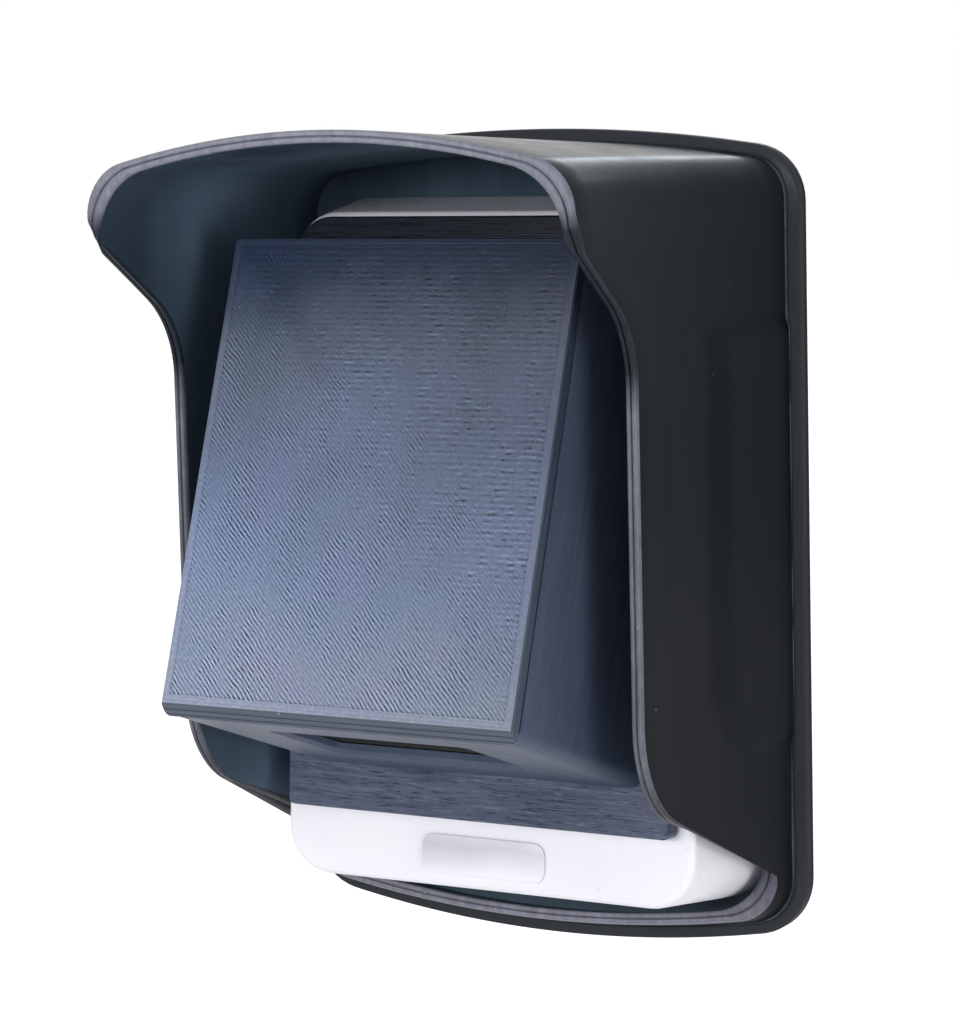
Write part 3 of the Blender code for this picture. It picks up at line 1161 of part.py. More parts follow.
def make_engine():
    """Scan engine on its stand over the window, looking down through it."""
    half = STAND_WIDTH / 2
    foot = WEDGE_WALL + GAP
    inside = half - STAND_SHEET
    staple = [(-half, foot), (-half, foot + STAND_HEIGHT), (half, foot + STAND_HEIGHT), (half, foot),
              (inside, foot), (inside, foot + STAND_HEIGHT - STAND_SHEET),
              (-inside, foot + STAND_HEIGHT - STAND_SHEET), (-inside, foot)]
    middle = WINDOW_MIDDLE
    staple_frame = FLOOR_FRAME @ Matrix.Translation((0, middle, 0)) @ FACING_VIEWER
    stand = piece("engine_stand", slab([staple], STAND_LENGTH, staple_frame), STEEL)
    view = rounded_rectangle(ENGINE_VIEW_WIDTH, ENGINE_VIEW_LENGTH, WINDOW_RADIUS, (0, middle))
    cut(stand, wedge_floor_slab([view], foot + STAND_HEIGHT - STAND_SHEET - OVERRUN,
                                STAND_SHEET + 2 * OVERRUN))
    ear_across = ENGINE_WIDTH / 2 + ENGINE_EAR_WIDTH / 2
    for side in (-1, 1):
        hole = circle((side * ear_across, middle), SCREW_SHANK_RADIUS + GAP)
        cut(stand, wedge_floor_slab([hole], foot + STAND_HEIGHT - STAND_SHEET - OVERRUN,
                                    STAND_SHEET + 2 * OVERRUN))
    engine = piece("scan_engine", block((ENGINE_WIDTH, ENGINE_LENGTH, ENGINE_HEIGHT),
                                        (0, middle, ENGINE_UNDERSIDE + ENGINE_HEIGHT / 2), FLOOR_FRAME,
                                        ENGINE_BEVEL), CHIP_BLACK)
    for side in (-1, 1):
        join(engine, block((ENGINE_EAR_WIDTH + 2 * ENGINE_BEVEL, ENGINE_LENGTH / 2, ENGINE_EAR_THICKNESS),
                           (side * (ear_across - ENGINE_BEVEL), middle, ENGINE_SEAT + ENGINE_EAR_THICKNESS / 2),
                           FLOOR_FRAME))
        hole = circle((side * ear_across, middle), SCREW_SHANK_RADIUS + GAP)
        cut(engine, wedge_floor_slab([hole], ENGINE_SEAT - OVERRUN, ENGINE_EAR_THICKNESS + 2 * OVERRUN))
    head = ENGINE_SEAT + ENGINE_EAR_THICKNESS + GAP
    for index, side in enumerate((-1, 1), start=1):
        screw(f"engine_screw_{index}", head - ENGINE_SEAT + ENGINE_SCREW_LENGTH / 2,
              FLOOR_FRAME @ Matrix.Translation((side * ear_across, middle, head)))
    face = ENGINE_UNDERSIDE - GAP
    barrel = [
        (0, BARREL_FLOOR), (BARREL_BORE_RADIUS, BARREL_FLOOR), (BARREL_BORE_RADIUS, BARREL_HEIGHT),
        (BARREL_RADIUS, BARREL_HEIGHT), (BARREL_RADIUS, 0), (0, 0),
    ]
    turned("lens_barrel", barrel, stand_matrix(0, middle, face), CHIP_BLACK, FINE_ROUND_STEPS)
    lens_radius = BARREL_BORE_RADIUS - GAP
    lens = [(0, LENS_HEIGHT + LENS_CROWN), (lens_radius / 2, LENS_HEIGHT + LENS_CROWN / 2),
            (lens_radius, LENS_HEIGHT), (lens_radius, 0), (0, 0)]
    turned("lens", lens, stand_matrix(0, middle, face - BARREL_FLOOR - GAP), CLEAR_PANE)
    for name, side in (("light_left", -1), ("light_right", 1)):
        dome = [(0, LIGHT_HEIGHT), (LIGHT_RADIUS / 2, LIGHT_HEIGHT - LIGHT_DOME / 2),
                (LIGHT_RADIUS, LIGHT_HEIGHT - LIGHT_DOME), (LIGHT_RADIUS, 0), (0, 0)]
        turned(name, dome, stand_matrix(side * LIGHT_ACROSS, middle, face), LAMP_WHITE)
    aimer = [(0, AIMER_HEIGHT), (AIMER_RADIUS, AIMER_HEIGHT), (AIMER_RADIUS, 0), (0, 0)]
    turned("aimer_lens", aimer, stand_matrix(LIGHT_ACROSS / 2, middle + AIMER_BACK, face), LAMP_WHITE)


def wedge_point(back, height):
    """Depth and height in the room of a point in the wedge's own frame."""
    spot = FLOOR_FRAME @ Vector((0, back, height))
    return (-spot.y, spot.z)


def make_decoder():
    """Decoder board, its chip, the ribbon to the engine and the cable to the main board."""
    outline = rounded_rectangle(DECODER_WIDTH, DECODER_HEIGHT, BOARD_RADIUS, (0, DECODER_CENTRE_HEIGHT))
    piece("decoder_board", leaned(facing_slab([outline], DECODER_BACK, BOARD_THICKNESS)), BOARD_GREEN)
    chip = board_block(DECODER_CHIP_ACROSS, DECODER_CENTRE_HEIGHT, DECODER_FRONT + GAP,
                       (DECODER_CHIP_SIDE, DECODER_CHIP_SIDE, DECODER_CHIP_HEIGHT))
    piece("decoder_chip", leaned(chip), CHIP_BLACK)
    make_ribbon()
    make_link_cable()


def make_ribbon():
    """Flat cable from the top of the engine, over in a loop, down the front of the decoder board."""
    top = ENGINE_UNDERSIDE + ENGINE_HEIGHT + GAP
    start = wedge_point(WINDOW_MIDDLE, top + RIBBON_THICKNESS / 2)
    start_way = Vector((math.sin(TILT), -math.cos(TILT))) * -1
    end = LEAN @ place(0, DECODER_FRONT + GAP + RIBBON_THICKNESS / 2,
                       DECODER_CENTRE_HEIGHT - DECODER_HEIGHT / 4)
    first = Vector(start)
    last = Vector((-end.y, end.z))
    ahead = first + start_way * RIBBON_SLACK
    behind = last + Vector((math.sin(LEAN_ANGLE), -math.cos(LEAN_ANGLE))) * RIBBON_SLACK
    spots = []
    for step in range(RIBBON_STEPS + 1):
        share = step / RIBBON_STEPS
        rest = 1 - share
        spots.append(first * rest ** 3 + ahead * 3 * rest ** 2 * share + behind * 3 * rest * share ** 2
                     + last * share ** 3)
    half = RIBBON_THICKNESS / 2
    left = []
    right = []
    for index, spot in enumerate(spots):
        way = spots[min(index + 1, RIBBON_STEPS)] - spots[max(index - 1, 0)]
        side = Vector((-way.y, way.x)).normalized() * half
        left.append(tuple(spot + side))
        right.append(tuple(spot - side))
    side_view = Matrix(((0, 0, -1, 0), (-1, 0, 0, 0), (0, 1, 0, 0), (0, 0, 0, 1)))
    piece("ribbon_cable", slab([left + right[::-1]], RIBBON_WIDTH, side_view), RIBBON_ORANGE)


def make_link_cable():
    """Round cable from the back of the decoder board through the plate and the front shell."""
    start = BOARD_FRONT + GAP + SOCKET_HEIGHT + GAP
    board_back = LEAN @ place(0, DECODER_BACK, DECODER_CENTRE_HEIGHT)
    end = -board_back.y - GAP - LEAN_SLOPE * LINK_RADIUS
    curve = bpy.data.curves.new("link", "CURVE")
    curve.dimensions = "3D"
    curve.bevel_depth = LINK_RADIUS
    curve.bevel_resolution = LINK_BEVEL_RESOLUTION
    curve.use_fill_caps = True
    spline = curve.splines.new("POLY")
    spline.points.add(LINK_POINTS - 1)
    for index, spot in enumerate(spline.points):
        share = index / (LINK_POINTS - 1)
        drop = LINK_DROP * math.sin(math.pi * share) ** 2
        spot.co = (*place(0, start + (end - start) * share, DECODER_CENTRE_HEIGHT - drop), 1)
    piece("link_cable", evaluated_mesh(curve, "link_cable"), BLACK_RUBBER)


make_hood()
make_bracket()
make_reader_shells()
make_main_board()
make_switches()
make_plate()
make_wedge()
make_scan_window()
make_engine()
make_decoder()
bpy.context.view_layer.update()
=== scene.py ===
"""Dressed scene of the wall code reader: fine shells, printed wedge, materials, light and camera.

X runs to the right, Y into the wall and Z up, in metres. A depth is measured from the wall towards
the viewer, along -Y.
"""
import json
import math

import bmesh
import bpy
from mathutils import Matrix, Vector


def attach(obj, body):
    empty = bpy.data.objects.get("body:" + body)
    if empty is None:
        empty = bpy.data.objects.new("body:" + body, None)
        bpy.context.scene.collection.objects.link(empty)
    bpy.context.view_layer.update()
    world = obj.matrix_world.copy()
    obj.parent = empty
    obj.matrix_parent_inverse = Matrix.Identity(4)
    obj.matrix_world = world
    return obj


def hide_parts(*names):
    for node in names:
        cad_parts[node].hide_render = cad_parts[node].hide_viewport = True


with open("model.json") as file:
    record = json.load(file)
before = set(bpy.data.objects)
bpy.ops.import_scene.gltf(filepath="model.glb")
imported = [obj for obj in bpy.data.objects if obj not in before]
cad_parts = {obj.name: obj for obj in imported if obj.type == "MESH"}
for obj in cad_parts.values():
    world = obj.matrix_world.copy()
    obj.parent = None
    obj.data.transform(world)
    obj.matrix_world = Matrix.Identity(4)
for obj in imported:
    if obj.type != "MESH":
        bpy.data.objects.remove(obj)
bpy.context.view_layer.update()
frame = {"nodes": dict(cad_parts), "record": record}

# Clearances and mesh density
GAP = 0.0003
OVERRUN = 0.002
ARCH_STEPS = 20
CORNER_STEPS = 10
BEND_STEPS = 12
WALL_STEPS = 14
ROUND_STEPS = 32
SHELL_STEPS = 8
SHELL_BEVEL_STEPS = 6
PRINT_BEVEL_STEPS = 3
SIDE_STEP = 0.004
EDGE_PASSES = 8
HOOD_FOOT_LOOPS = 6
SMOOTH_ANGLE = math.radians(32)
# How far in the middle point of a soft corner is, as a share of the corner's size
SOFT_SHARE = 0.3

# Rain hood
FLANGE_WIDTH = 0.1372
FLANGE_HEIGHT = 0.1958
FLANGE_THICKNESS = 0.0037
FLANGE_TOP_RISE = 0.0064
FLANGE_BOTTOM_DROP = 0.0081
FLANGE_TOP_RADIUS = 0.0134
FLANGE_BOTTOM_RADIUS = 0.0146
FLANGE_CHAMFER = 0.0007
FLANGE_LEDGE = 0.0031
HOOD_WALL = 0.0028
HOOD_BACK_THICKNESS = 0.0025
HOOD_ROOT_FILLET = 0.0012
HOOD_TOP_RISE = 0.0052
HOOD_BOTTOM_DROP = 0.007
HOOD_TOP_RADIUS = 0.010
HOOD_BOTTOM_RADIUS = 0.012
HOOD_BOTTOM_INNER_RADIUS = 0.016
VISOR_WIDTH = 0.1234
VISOR_DEPTH = 0.1002
VISOR_LIFT = 0.0047
VISOR_RISE = 0.0092
VISOR_RADIUS = 0.0121
VISOR_INNER_RADIUS = 0.0165
SIDE_EDGE_WIDTH = 0.1206
SIDE_EDGE_DEPTH = 0.0708
LIP_DEPTH = 0.012
LIP_LIFT = 0.0022
VISOR_HEEL_HEIGHT = 0.0761
VISOR_HEEL_RADIUS = 0.0127
UPPER_BEND_HEIGHT = 0.0547
UPPER_BEND_RADIUS = 0.0228
LOWER_BEND_HEIGHT = -0.0485
LOWER_BEND_RADIUS = 0.0265
LIP_BEND_HEIGHT = -0.0735
LIP_BEND_RADIUS = 0.008
# Double bead along the edge: how far in and how far back, as shares of the wall
RIM_BEAD_SHARES = ((0.0, 0.42), (0.02, 0.26), (0.08, 0.1), (0.18, 0.01), (0.3, 0.0), (0.4, 0.03),
                   (0.46, 0.12), (0.49, 0.3), (0.52, 0.3), (0.55, 0.12), (0.62, 0.03), (0.72, 0.0),
                   (0.83, 0.02), (0.92, 0.1), (0.98, 0.25), (1.0, 0.42))

# Raised soft pad on each outer side wall, next to the flange
PAD_RAISE = 0.0008
PAD_TOP = 0.054
PAD_BOTTOM = -0.046
PAD_DEPTH = 0.035
PAD_CORNER = 0.020
PAD_EDGE = 0.0025

# Openings in the hood's back
SEAL_GROOVE_INSET = 0.0045
SEAL_GROOVE_WIDTH = 0.0032
SEAL_GROOVE_DEPTH = 0.0016
CABLE_ENTRY_HEIGHT = 0.024
CABLE_ENTRY_RADIUS = 0.008
SCREW_HOLE_RADIUS = 0.0017
WALL_HOLE_RADIUS = 0.0023
BRACKET_SCREW_SPOTS = ((-0.024, 0.046), (0.024, 0.046), (-0.024, -0.040), (0.024, -0.040))
WALL_HOLE_SPOTS = ((-0.0105, 0.052), (0.0105, 0.052), (-0.0105, -0.046), (0.0105, -0.046))

# White reader
READER_WIDTH = 0.1098
READER_HEIGHT = 0.1594
READER_CENTRE_HEIGHT = -0.0006
READER_BACK_DEPTH = 0.0028
READER_FRONT_DEPTH = 0.0309
READER_LEAN = math.radians(4.4)
READER_SIDE_FLARE = 0.0042
READER_TOP_FLARE = 0.0028
READER_BOTTOM_FLARE = 0.0042
READER_RADIUS = 0.0115
READER_BEVEL = 0.0014
READER_WALL = 0.0026
PLAQUE_WIDTH = 0.0332
PLAQUE_HEIGHT = 0.0095
PLAQUE_RADIUS = 0.003
PLAQUE_CENTRE_HEIGHT = -0.0727
PLAQUE_THICKNESS = 0.0004

# Printed adapter plate and wedge
PLATE_WIDTH = 0.1025
PLATE_TOP = 0.0782
PLATE_BOTTOM = -0.0634
PLATE_TOP_RADIUS = 0.010
PLATE_BOTTOM_RADIUS = 0.0016
PLATE_THICKNESS = 0.0055
PLATE_BEVEL = 0.0006
WEDGE_WIDTH = 0.0901
WEDGE_FACE_LENGTH = 0.1084
WEDGE_TILT = math.radians(19.5)
WEDGE_EDGE_DEPTH = 0.1014
WEDGE_EDGE_HEIGHT = -0.02725
WEDGE_CHIN = 0.0026
WEDGE_CHIN_DEPTH = 0.0028
WEDGE_WALL = 0.0024
WEDGE_LOWER_RADIUS = 0.004
WEDGE_CORNER_RADIUS = 0.0012
COVER_THICKNESS = 0.0035
COVER_BEVEL = 0.0005
# A print's back edge draws in by a share of its bevel, over a share of its thickness
PRINT_BACK_INSET = 0.6
PRINT_BACK_RUN = 0.12
# How squarely a face looks forward to count as the cover's front
FRONT_FACING = 0.9
WINDOW_WIDTH = 0.050
WINDOW_LENGTH = 0.030
WINDOW_SETBACK = 0.016
WINDOW_RADIUS = 0.002
WINDOW_CHAMFER = 0.0009

# Places worked out from the sizes above
HOOD_HALF_WIDTH = FLANGE_WIDTH / 2 - FLANGE_LEDGE
HOOD_TOP = FLANGE_HEIGHT / 2 - FLANGE_LEDGE
HOOD_BOTTOM = -HOOD_TOP
RIM_DEPTH = 1.5 * HOOD_WALL
PLATE_BACK = READER_FRONT_DEPTH + GAP
PLATE_FRONT = PLATE_BACK + PLATE_THICKNESS
WEDGE_BACK = PLATE_FRONT + GAP
WEDGE_FRAME = (Matrix.Translation((0, -WEDGE_EDGE_DEPTH, WEDGE_EDGE_HEIGHT))
               @ Matrix.Rotation(-WEDGE_TILT, 4, "X"))
FLOOR_FRAME = WEDGE_FRAME @ Matrix.Translation((0, 0, -WEDGE_CHIN))
BODY = "reader"


def place(across, depth, up):
    """Point in space from a distance across, a depth from the wall and a height."""
    return Vector((across, -depth, up))


# What sits on the reader's front is laid out upright, then leans with it about the front's middle
FACE_MIDDLE = place(0, READER_FRONT_DEPTH, READER_CENTRE_HEIGHT)
LEAN = (Matrix.Translation(FACE_MIDDLE) @ Matrix.Rotation(-READER_LEAN, 4, "X")
        @ Matrix.Translation(-FACE_MIDDLE))


# Camera, floor and light

CAMERA_PLACE = (0.381803, -0.697289, 0.1035)
CAMERA_LENS = 116.0155
CAMERA_YAW = math.radians(29.951)
CAMERA_PITCH = math.radians(7.0)
CAMERA_ROLL = math.radians(-1.372)
FLOOR_HEIGHT = -0.30
FLOOR_SIZE = 12
WORLD_LEVEL = 0.5
# Name, place, target, size, power and colour
LAMPS = (("key", (-0.7, -1.1, 0.7), (0, -0.05, 0), (0.9, 0.9), 3, (1, 0.99, 0.98)),
         ("front", (-0.05, -1.25, 0.22), (0, -0.05, 0.05), (0.5, 0.16), 6.5, (0.98, 0.98, 1)),
         ("low", (0.3, -1.1, -0.45), (0, -0.05, -0.02), (0.6, 0.3), 3.5, (0.97, 0.98, 1)),
         ("side", (1.1, -0.45, -0.05), (0, -0.03, 0), (0.6, 0.4), 5, (0.98, 0.98, 1)),
         ("back", (-0.1, 0.9, 0.42), (0.02, -0.03, 0.09), (0.5, 0.12), 0.85, (0.80, 0.90, 1)))


def make_camera():
    """Camera where the photographer stood."""
    level = Vector((-math.sin(CAMERA_YAW), math.cos(CAMERA_YAW), 0))
    right = Vector((math.cos(CAMERA_YAW), math.sin(CAMERA_YAW), 0))
    up = Vector((0, 0, 1))
    ahead = level * math.cos(CAMERA_PITCH) - up * math.sin(CAMERA_PITCH)
    lifted = up * math.cos(CAMERA_PITCH) + level * math.sin(CAMERA_PITCH)
    side = right * math.cos(CAMERA_ROLL) + lifted * math.sin(CAMERA_ROLL)
    top = lifted * math.cos(CAMERA_ROLL) - right * math.sin(CAMERA_ROLL)
    lens = bpy.data.cameras.new("camera")
    lens.lens = CAMERA_LENS
    lens.clip_end = 50
    camera = bpy.data.objects.new("camera", lens)
    bpy.context.scene.collection.objects.link(camera)
    turn = Matrix((side, top, -ahead)).transposed().to_4x4()
    camera.matrix_world = Matrix.Translation(CAMERA_PLACE) @ turn
    bpy.context.scene.camera = camera


def shader_node(tree, kind, **inputs):
    """New shader node with its inputs set."""
    made = tree.nodes.new(kind)
    for name, value in inputs.items():
        made.inputs[name].default_value = value
    return made


def show_by_ray(tree, plain, seen, output):
    """Show one shader to camera, glossy and transmission rays, and the other to the rest."""
    paths = tree.nodes.new("ShaderNodeLightPath")
    total = paths.outputs["Is Camera Ray"]
    for name in ("Is Glossy Ray", "Is Transmission Ray"):
        both = tree.nodes.new("ShaderNodeMath")
        both.operation = "MAXIMUM"
        tree.links.new(total, both.inputs[0])
        tree.links.new(paths.outputs[name], both.inputs[1])
        total = both.outputs[0]
    mix = tree.nodes.new("ShaderNodeMixShader")
    for socket, value in zip(mix.inputs, (total, plain.outputs[0], seen.outputs[0])):
        tree.links.new(value, socket)
    tree.links.new(mix.outputs[0], tree.nodes.new(output).inputs["Surface"])


def make_world():
    """White surroundings to the eye and in reflections, and a soft even light on the object."""
    world = bpy.data.worlds.new("surroundings")
    bpy.context.scene.world = world
    world.use_nodes = True
    tree = world.node_tree
    tree.nodes.clear()
    soft = shader_node(tree, "ShaderNodeBackground", Color=(0.93, 0.95, 1.0, 1), Strength=WORLD_LEVEL)
    white = shader_node(tree, "ShaderNodeBackground", Color=(1, 1, 1, 1), Strength=1)
    show_by_ray(tree, soft, white, "ShaderNodeOutputWorld")


def make_floor():
    """Pale floor well below the reader, white to the eye where no shadow falls."""
    mesh = bpy.data.meshes.new("floor")
    half = FLOOR_SIZE / 2
    mesh.from_pydata([(-half, -half, 0), (half, -half, 0), (half, half, 0), (-half, half, 0)], [],
                     [(0, 1, 2, 3)])
    floor = bpy.data.objects.new("floor", mesh)
    floor.location = (0, 0, FLOOR_HEIGHT)
    bpy.context.scene.collection.objects.link(floor)
    material = bpy.data.materials.new("floor_paint")
    material.use_nodes = True
    tree = material.node_tree
    tree.nodes.clear()
    matt = shader_node(tree, "ShaderNodeBsdfDiffuse", Color=(0.75, 0.75, 0.75, 1))
    glow = shader_node(tree, "ShaderNodeEmission", Color=(1, 1, 1, 1), Strength=0.8)
    lit = tree.nodes.new("ShaderNodeAddShader")
    tree.links.new(matt.outputs[0], lit.inputs[0])
    tree.links.new(glow.outputs[0], lit.inputs[1])
    show_by_ray(tree, matt, lit, "ShaderNodeOutputMaterial")
    mesh.materials.append(material)


def make_lamp(name, spot, target, size, watts, colour):
    """Soft rectangular lamp at a spot, turned to a target."""
    lamp = bpy.data.lights.new(name, "AREA")
    lamp.shape = "RECTANGLE"
    lamp.size, lamp.size_y = size
    lamp.energy = watts
    lamp.color = colour
    item = bpy.data.objects.new(name, lamp)
    bpy.context.scene.collection.objects.link(item)
    item.location = spot
    item.rotation_euler = (Vector(target) - Vector(spot)).to_track_quat("-Z", "Y").to_euler()


# Mesh helpers

def mesh_from(shape, name):
    """Mesh data from a bmesh, with its faces pointing out."""
    bmesh.ops.recalc_face_normals(shape, faces=shape.faces)
    mesh = bpy.data.meshes.new(name)
    shape.to_mesh(mesh)
    shape.free()
    return mesh


def add_piece(name, mesh, material, replaced):
    """Visible piece that rides on the reader and stands for the nodes it replaces."""
    body = bpy.data.objects.new(name, mesh)
    bpy.context.scene.collection.objects.link(body)
    if not mesh.materials:
        mesh.materials.append(material)
    mesh.polygons.foreach_set("use_smooth", [True] * len(mesh.polygons))
    mesh.set_sharp_from_angle(angle=SMOOTH_ANGLE)
    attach(body, BODY)
    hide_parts(*replaced)
    return body


def carved(mesh, tools):
    """Mesh with helper meshes taken away, one after another."""
    target = bpy.data.objects.new("target", mesh)
    bpy.context.scene.collection.objects.link(target)
    helpers = []
    for tool in tools:
        helper = bpy.data.objects.new("helper", tool)
        bpy.context.scene.collection.objects.link(helper)
        helpers.append(helper)
        step = target.modifiers.new("step", "BOOLEAN")
        step.operation = "DIFFERENCE"
        step.object = helper
        step.solver = "EXACT"
    bpy.context.view_layer.update()
    graph = bpy.context.evaluated_depsgraph_get()
    result = bpy.data.meshes.new_from_object(target.evaluated_get(graph))
    for item in helpers + [target]:
        bpy.data.objects.remove(item)
    return result


def skin(shape, rings):
    """Faces between each ring of corners and the next."""
    for first, second in zip(rings, rings[1:]):
        for index, corner in enumerate(first):
            after = (index + 1) % len(first)
            shape.faces.new((corner, first[after], second[after], second[index]))


def loft(loops):
    """Solid through loops of equal length."""
    shape = bmesh.new()
    rings = [[shape.verts.new(point) for point in loop] for loop in loops]
    skin(shape, rings)
    shape.faces.new(reversed(rings[0]))
    shape.faces.new(rings[-1])
    return mesh_from(shape, "loft")


def ring_shape(stand, outer, inner, back, front):
    """Ring between two outlines and two depths; stand puts an outline in its place."""
    shape = bmesh.new()
    rings = [[shape.verts.new(point) for point in stand(outline, depth)]
             for outline, depth in ((outer, back), (outer, front), (inner, front), (inner, back))]
    skin(shape, rings + rings[:1])
    return shape


def cut_off(shape, spot, normal):
    """Take away what lies beyond a plane; gives the edges that the cut leaves."""
    geometry = shape.verts[:] + shape.edges[:] + shape.faces[:]
    cut = bmesh.ops.bisect_plane(shape, geom=geometry, plane_co=spot, plane_no=normal, clear_outer=True)
    return [item for item in cut["geom_cut"] if isinstance(item, bmesh.types.BMEdge)]


def rounding(steps):
    """How far in and how far back a rounded edge runs, as shares of its radius."""
    angles = [step / steps * math.pi / 2 for step in range(steps + 1)]
    return [(1 - math.cos(angle), 1 - math.sin(angle)) for angle in angles]


def rounded_rectangle(width, height, radius, centre=(0, 0), lower_radius=None):
    """Closed outline of a rectangle with round corners; the lower two may differ."""
    low = radius if lower_radius is None else lower_radius
    corners = ((1, 1, radius, 0), (-1, 1, radius, 1), (-1, -1, low, 2), (1, -1, low, 3))
    points = []
    for side, end, bend_radius, quarter in corners:
        middle = (centre[0] + side * (width / 2 - bend_radius), centre[1] + end * (height / 2 - bend_radius))
        for step in range(CORNER_STEPS + 1):
            angle = (quarter + step / CORNER_STEPS) * math.pi / 2
            points.append((middle[0] + bend_radius * math.cos(angle),
                           middle[1] + bend_radius * math.sin(angle)))
    return points


def facing_loop(outline, depth):
    """Outline stood up parallel to the wall at a depth."""
    return [place(across, depth, up) for across, up in outline]


def leaning_loop(outline, depth):
    """Outline laid out upright at a depth, leaning with the reader's front."""
    return [LEAN @ place(across, depth, up) for across, up in outline]


def wedge_loop(outline, back):
    """Outline stood up parallel to the wedge's front face, at a distance behind it."""
    return [WEDGE_FRAME @ Vector((across, back, up)) for across, up in outline]


def rod(centre, radius, back, front):
    """Cylinder square to the wall between two depths."""
    turns = [step * 2 * math.pi / ROUND_STEPS for step in range(ROUND_STEPS)]
    outline = [(centre[0] + radius * math.cos(turn), centre[1] + radius * math.sin(turn)) for turn in turns]
    return loft([facing_loop(outline, back), facing_loop(outline, front)])


# Rain hood

def crown(half_width, height, sag, radius):
    """Half of an arched end: a shallow arch from the middle, then a round corner into the side."""
    lean = math.atan(2 * sag / half_width)
    centre_up = height - sag + radius * (math.tan(lean) - 1 / math.cos(lean))
    centre_across = half_width - radius
    join_across = centre_across + radius * math.sin(lean)
    join_up = centre_up + radius * math.cos(lean)
    points = []
    for step in range(ARCH_STEPS):
        share = step / ARCH_STEPS
        points.append((join_across * share, height - (height - join_up) * share ** 2))
    for step in range(CORNER_STEPS + 1):
        angle = (math.pi / 2 - lean) * (1 - step / CORNER_STEPS)
        points.append((centre_across + radius * math.cos(angle), centre_up + radius * math.sin(angle)))
    return points


def bend(before, corner, after, radius):
    """Arc that rounds a corner of a path, as points."""
    start = (before - corner).normalized()
    end = (after - corner).normalized()
    half_angle = start.angle(end) / 2
    middle = corner + (start + end).normalized() * radius / math.sin(half_angle)
    first, last = [corner + way * radius / math.tan(half_angle) - middle for way in (start, end)]
    spokes = [first.lerp(last, step / BEND_STEPS) for step in range(BEND_STEPS + 1)]
    return [middle + spoke.normalized() * radius for spoke in spokes]


def front_edge_path():
    """The hood's front edge seen from the side, as (depth, height) points going down."""
    corners = [Vector(corner) for corner in (
        (VISOR_DEPTH, HOOD_TOP + VISOR_LIFT), (VISOR_DEPTH, VISOR_HEEL_HEIGHT),
        (SIDE_EDGE_DEPTH, UPPER_BEND_HEIGHT), (SIDE_EDGE_DEPTH, LOWER_BEND_HEIGHT),
        (LIP_DEPTH, LIP_BEND_HEIGHT), (LIP_DEPTH, HOOD_BOTTOM))]
    radii = (VISOR_HEEL_RADIUS, UPPER_BEND_RADIUS, LOWER_BEND_RADIUS, LIP_BEND_RADIUS)
    path = corners[:1]
    for before, corner, after, radius in zip(corners, corners[1:], corners[2:], radii):
        path += bend(before, corner, after, radius)
    return path + corners[-1:]


FRONT_EDGE = front_edge_path()


def front_edge_depth(up):
    """Depth of the hood's front edge at a height."""
    for above, below in zip(FRONT_EDGE, FRONT_EDGE[1:]):
        if above.y >= up >= below.y:
            share = (above.y - up) / (above.y - below.y)
            return above.x + (below.x - above.x) * share
    return FRONT_EDGE[0].x if up > FRONT_EDGE[0].y else FRONT_EDGE[-1].x


def inset_radius(outer, inner, inset):
    """Corner radius at an inset, between the wall's outer and its inner radius."""
    return outer + (inner - outer) * inset / HOOD_WALL


def side_heights():
    """Heights along the straight sides: the front edge's bends, and steps along its long run."""
    inset = HOOD_WALL + HOOD_ROOT_FILLET
    half_width = HOOD_HALF_WIDTH - inset
    root = crown(half_width, HOOD_TOP - inset, HOOD_TOP_RISE, HOOD_TOP_RADIUS)
    visor = crown(VISOR_WIDTH / 2 - inset, HOOD_TOP + VISOR_LIFT - inset, VISOR_RISE,
                  inset_radius(VISOR_RADIUS, VISOR_INNER_RADIUS, inset))
    lip = crown(half_width, -HOOD_BOTTOM - LIP_LIFT - inset, HOOD_BOTTOM_DROP,
                inset_radius(HOOD_BOTTOM_RADIUS, HOOD_BOTTOM_INNER_RADIUS, inset))
    top = min(root[-1][1], visor[-1][1])
    heights = [spot.y for spot in reversed(FRONT_EDGE) if -lip[-1][1] < spot.y < top]
    filled = []
    for low, high in zip(heights, heights[1:]):
        parts = max(1, round((high - low) / SIDE_STEP))
        filled += [low + (high - low) * part / parts for part in range(parts)]
    return filled + heights[-1:]


SIDE_HEIGHTS = side_heights()


def hood_outline(half_width, top, bottom, rise, drop, top_radius, bottom_radius):
    """Closed outline of the hood at one depth, from the middle of its bottom round by the right."""
    low = [(across, -up) for across, up in crown(half_width, -bottom, drop, bottom_radius)]
    high = crown(half_width, top, rise, top_radius)[::-1]
    right = low + [(half_width, up) for up in SIDE_HEIGHTS] + high
    return right + [(-across, up) for across, up in right[-2:0:-1]]


def flange_outline(inset):
    """The flange's outline, drawn in by an inset."""
    return hood_outline(FLANGE_WIDTH / 2 - inset, FLANGE_HEIGHT / 2 - inset, inset - FLANGE_HEIGHT / 2,
                        FLANGE_TOP_RISE, FLANGE_BOTTOM_DROP, FLANGE_TOP_RADIUS - inset,
                        FLANGE_BOTTOM_RADIUS - inset)


def through_three(value, spots):
    """Smooth curve through three spots, read at a value."""
    return sum(height * math.prod((value - other) / (here - other) for other, _ in spots if other != here)
               for here, height in spots)


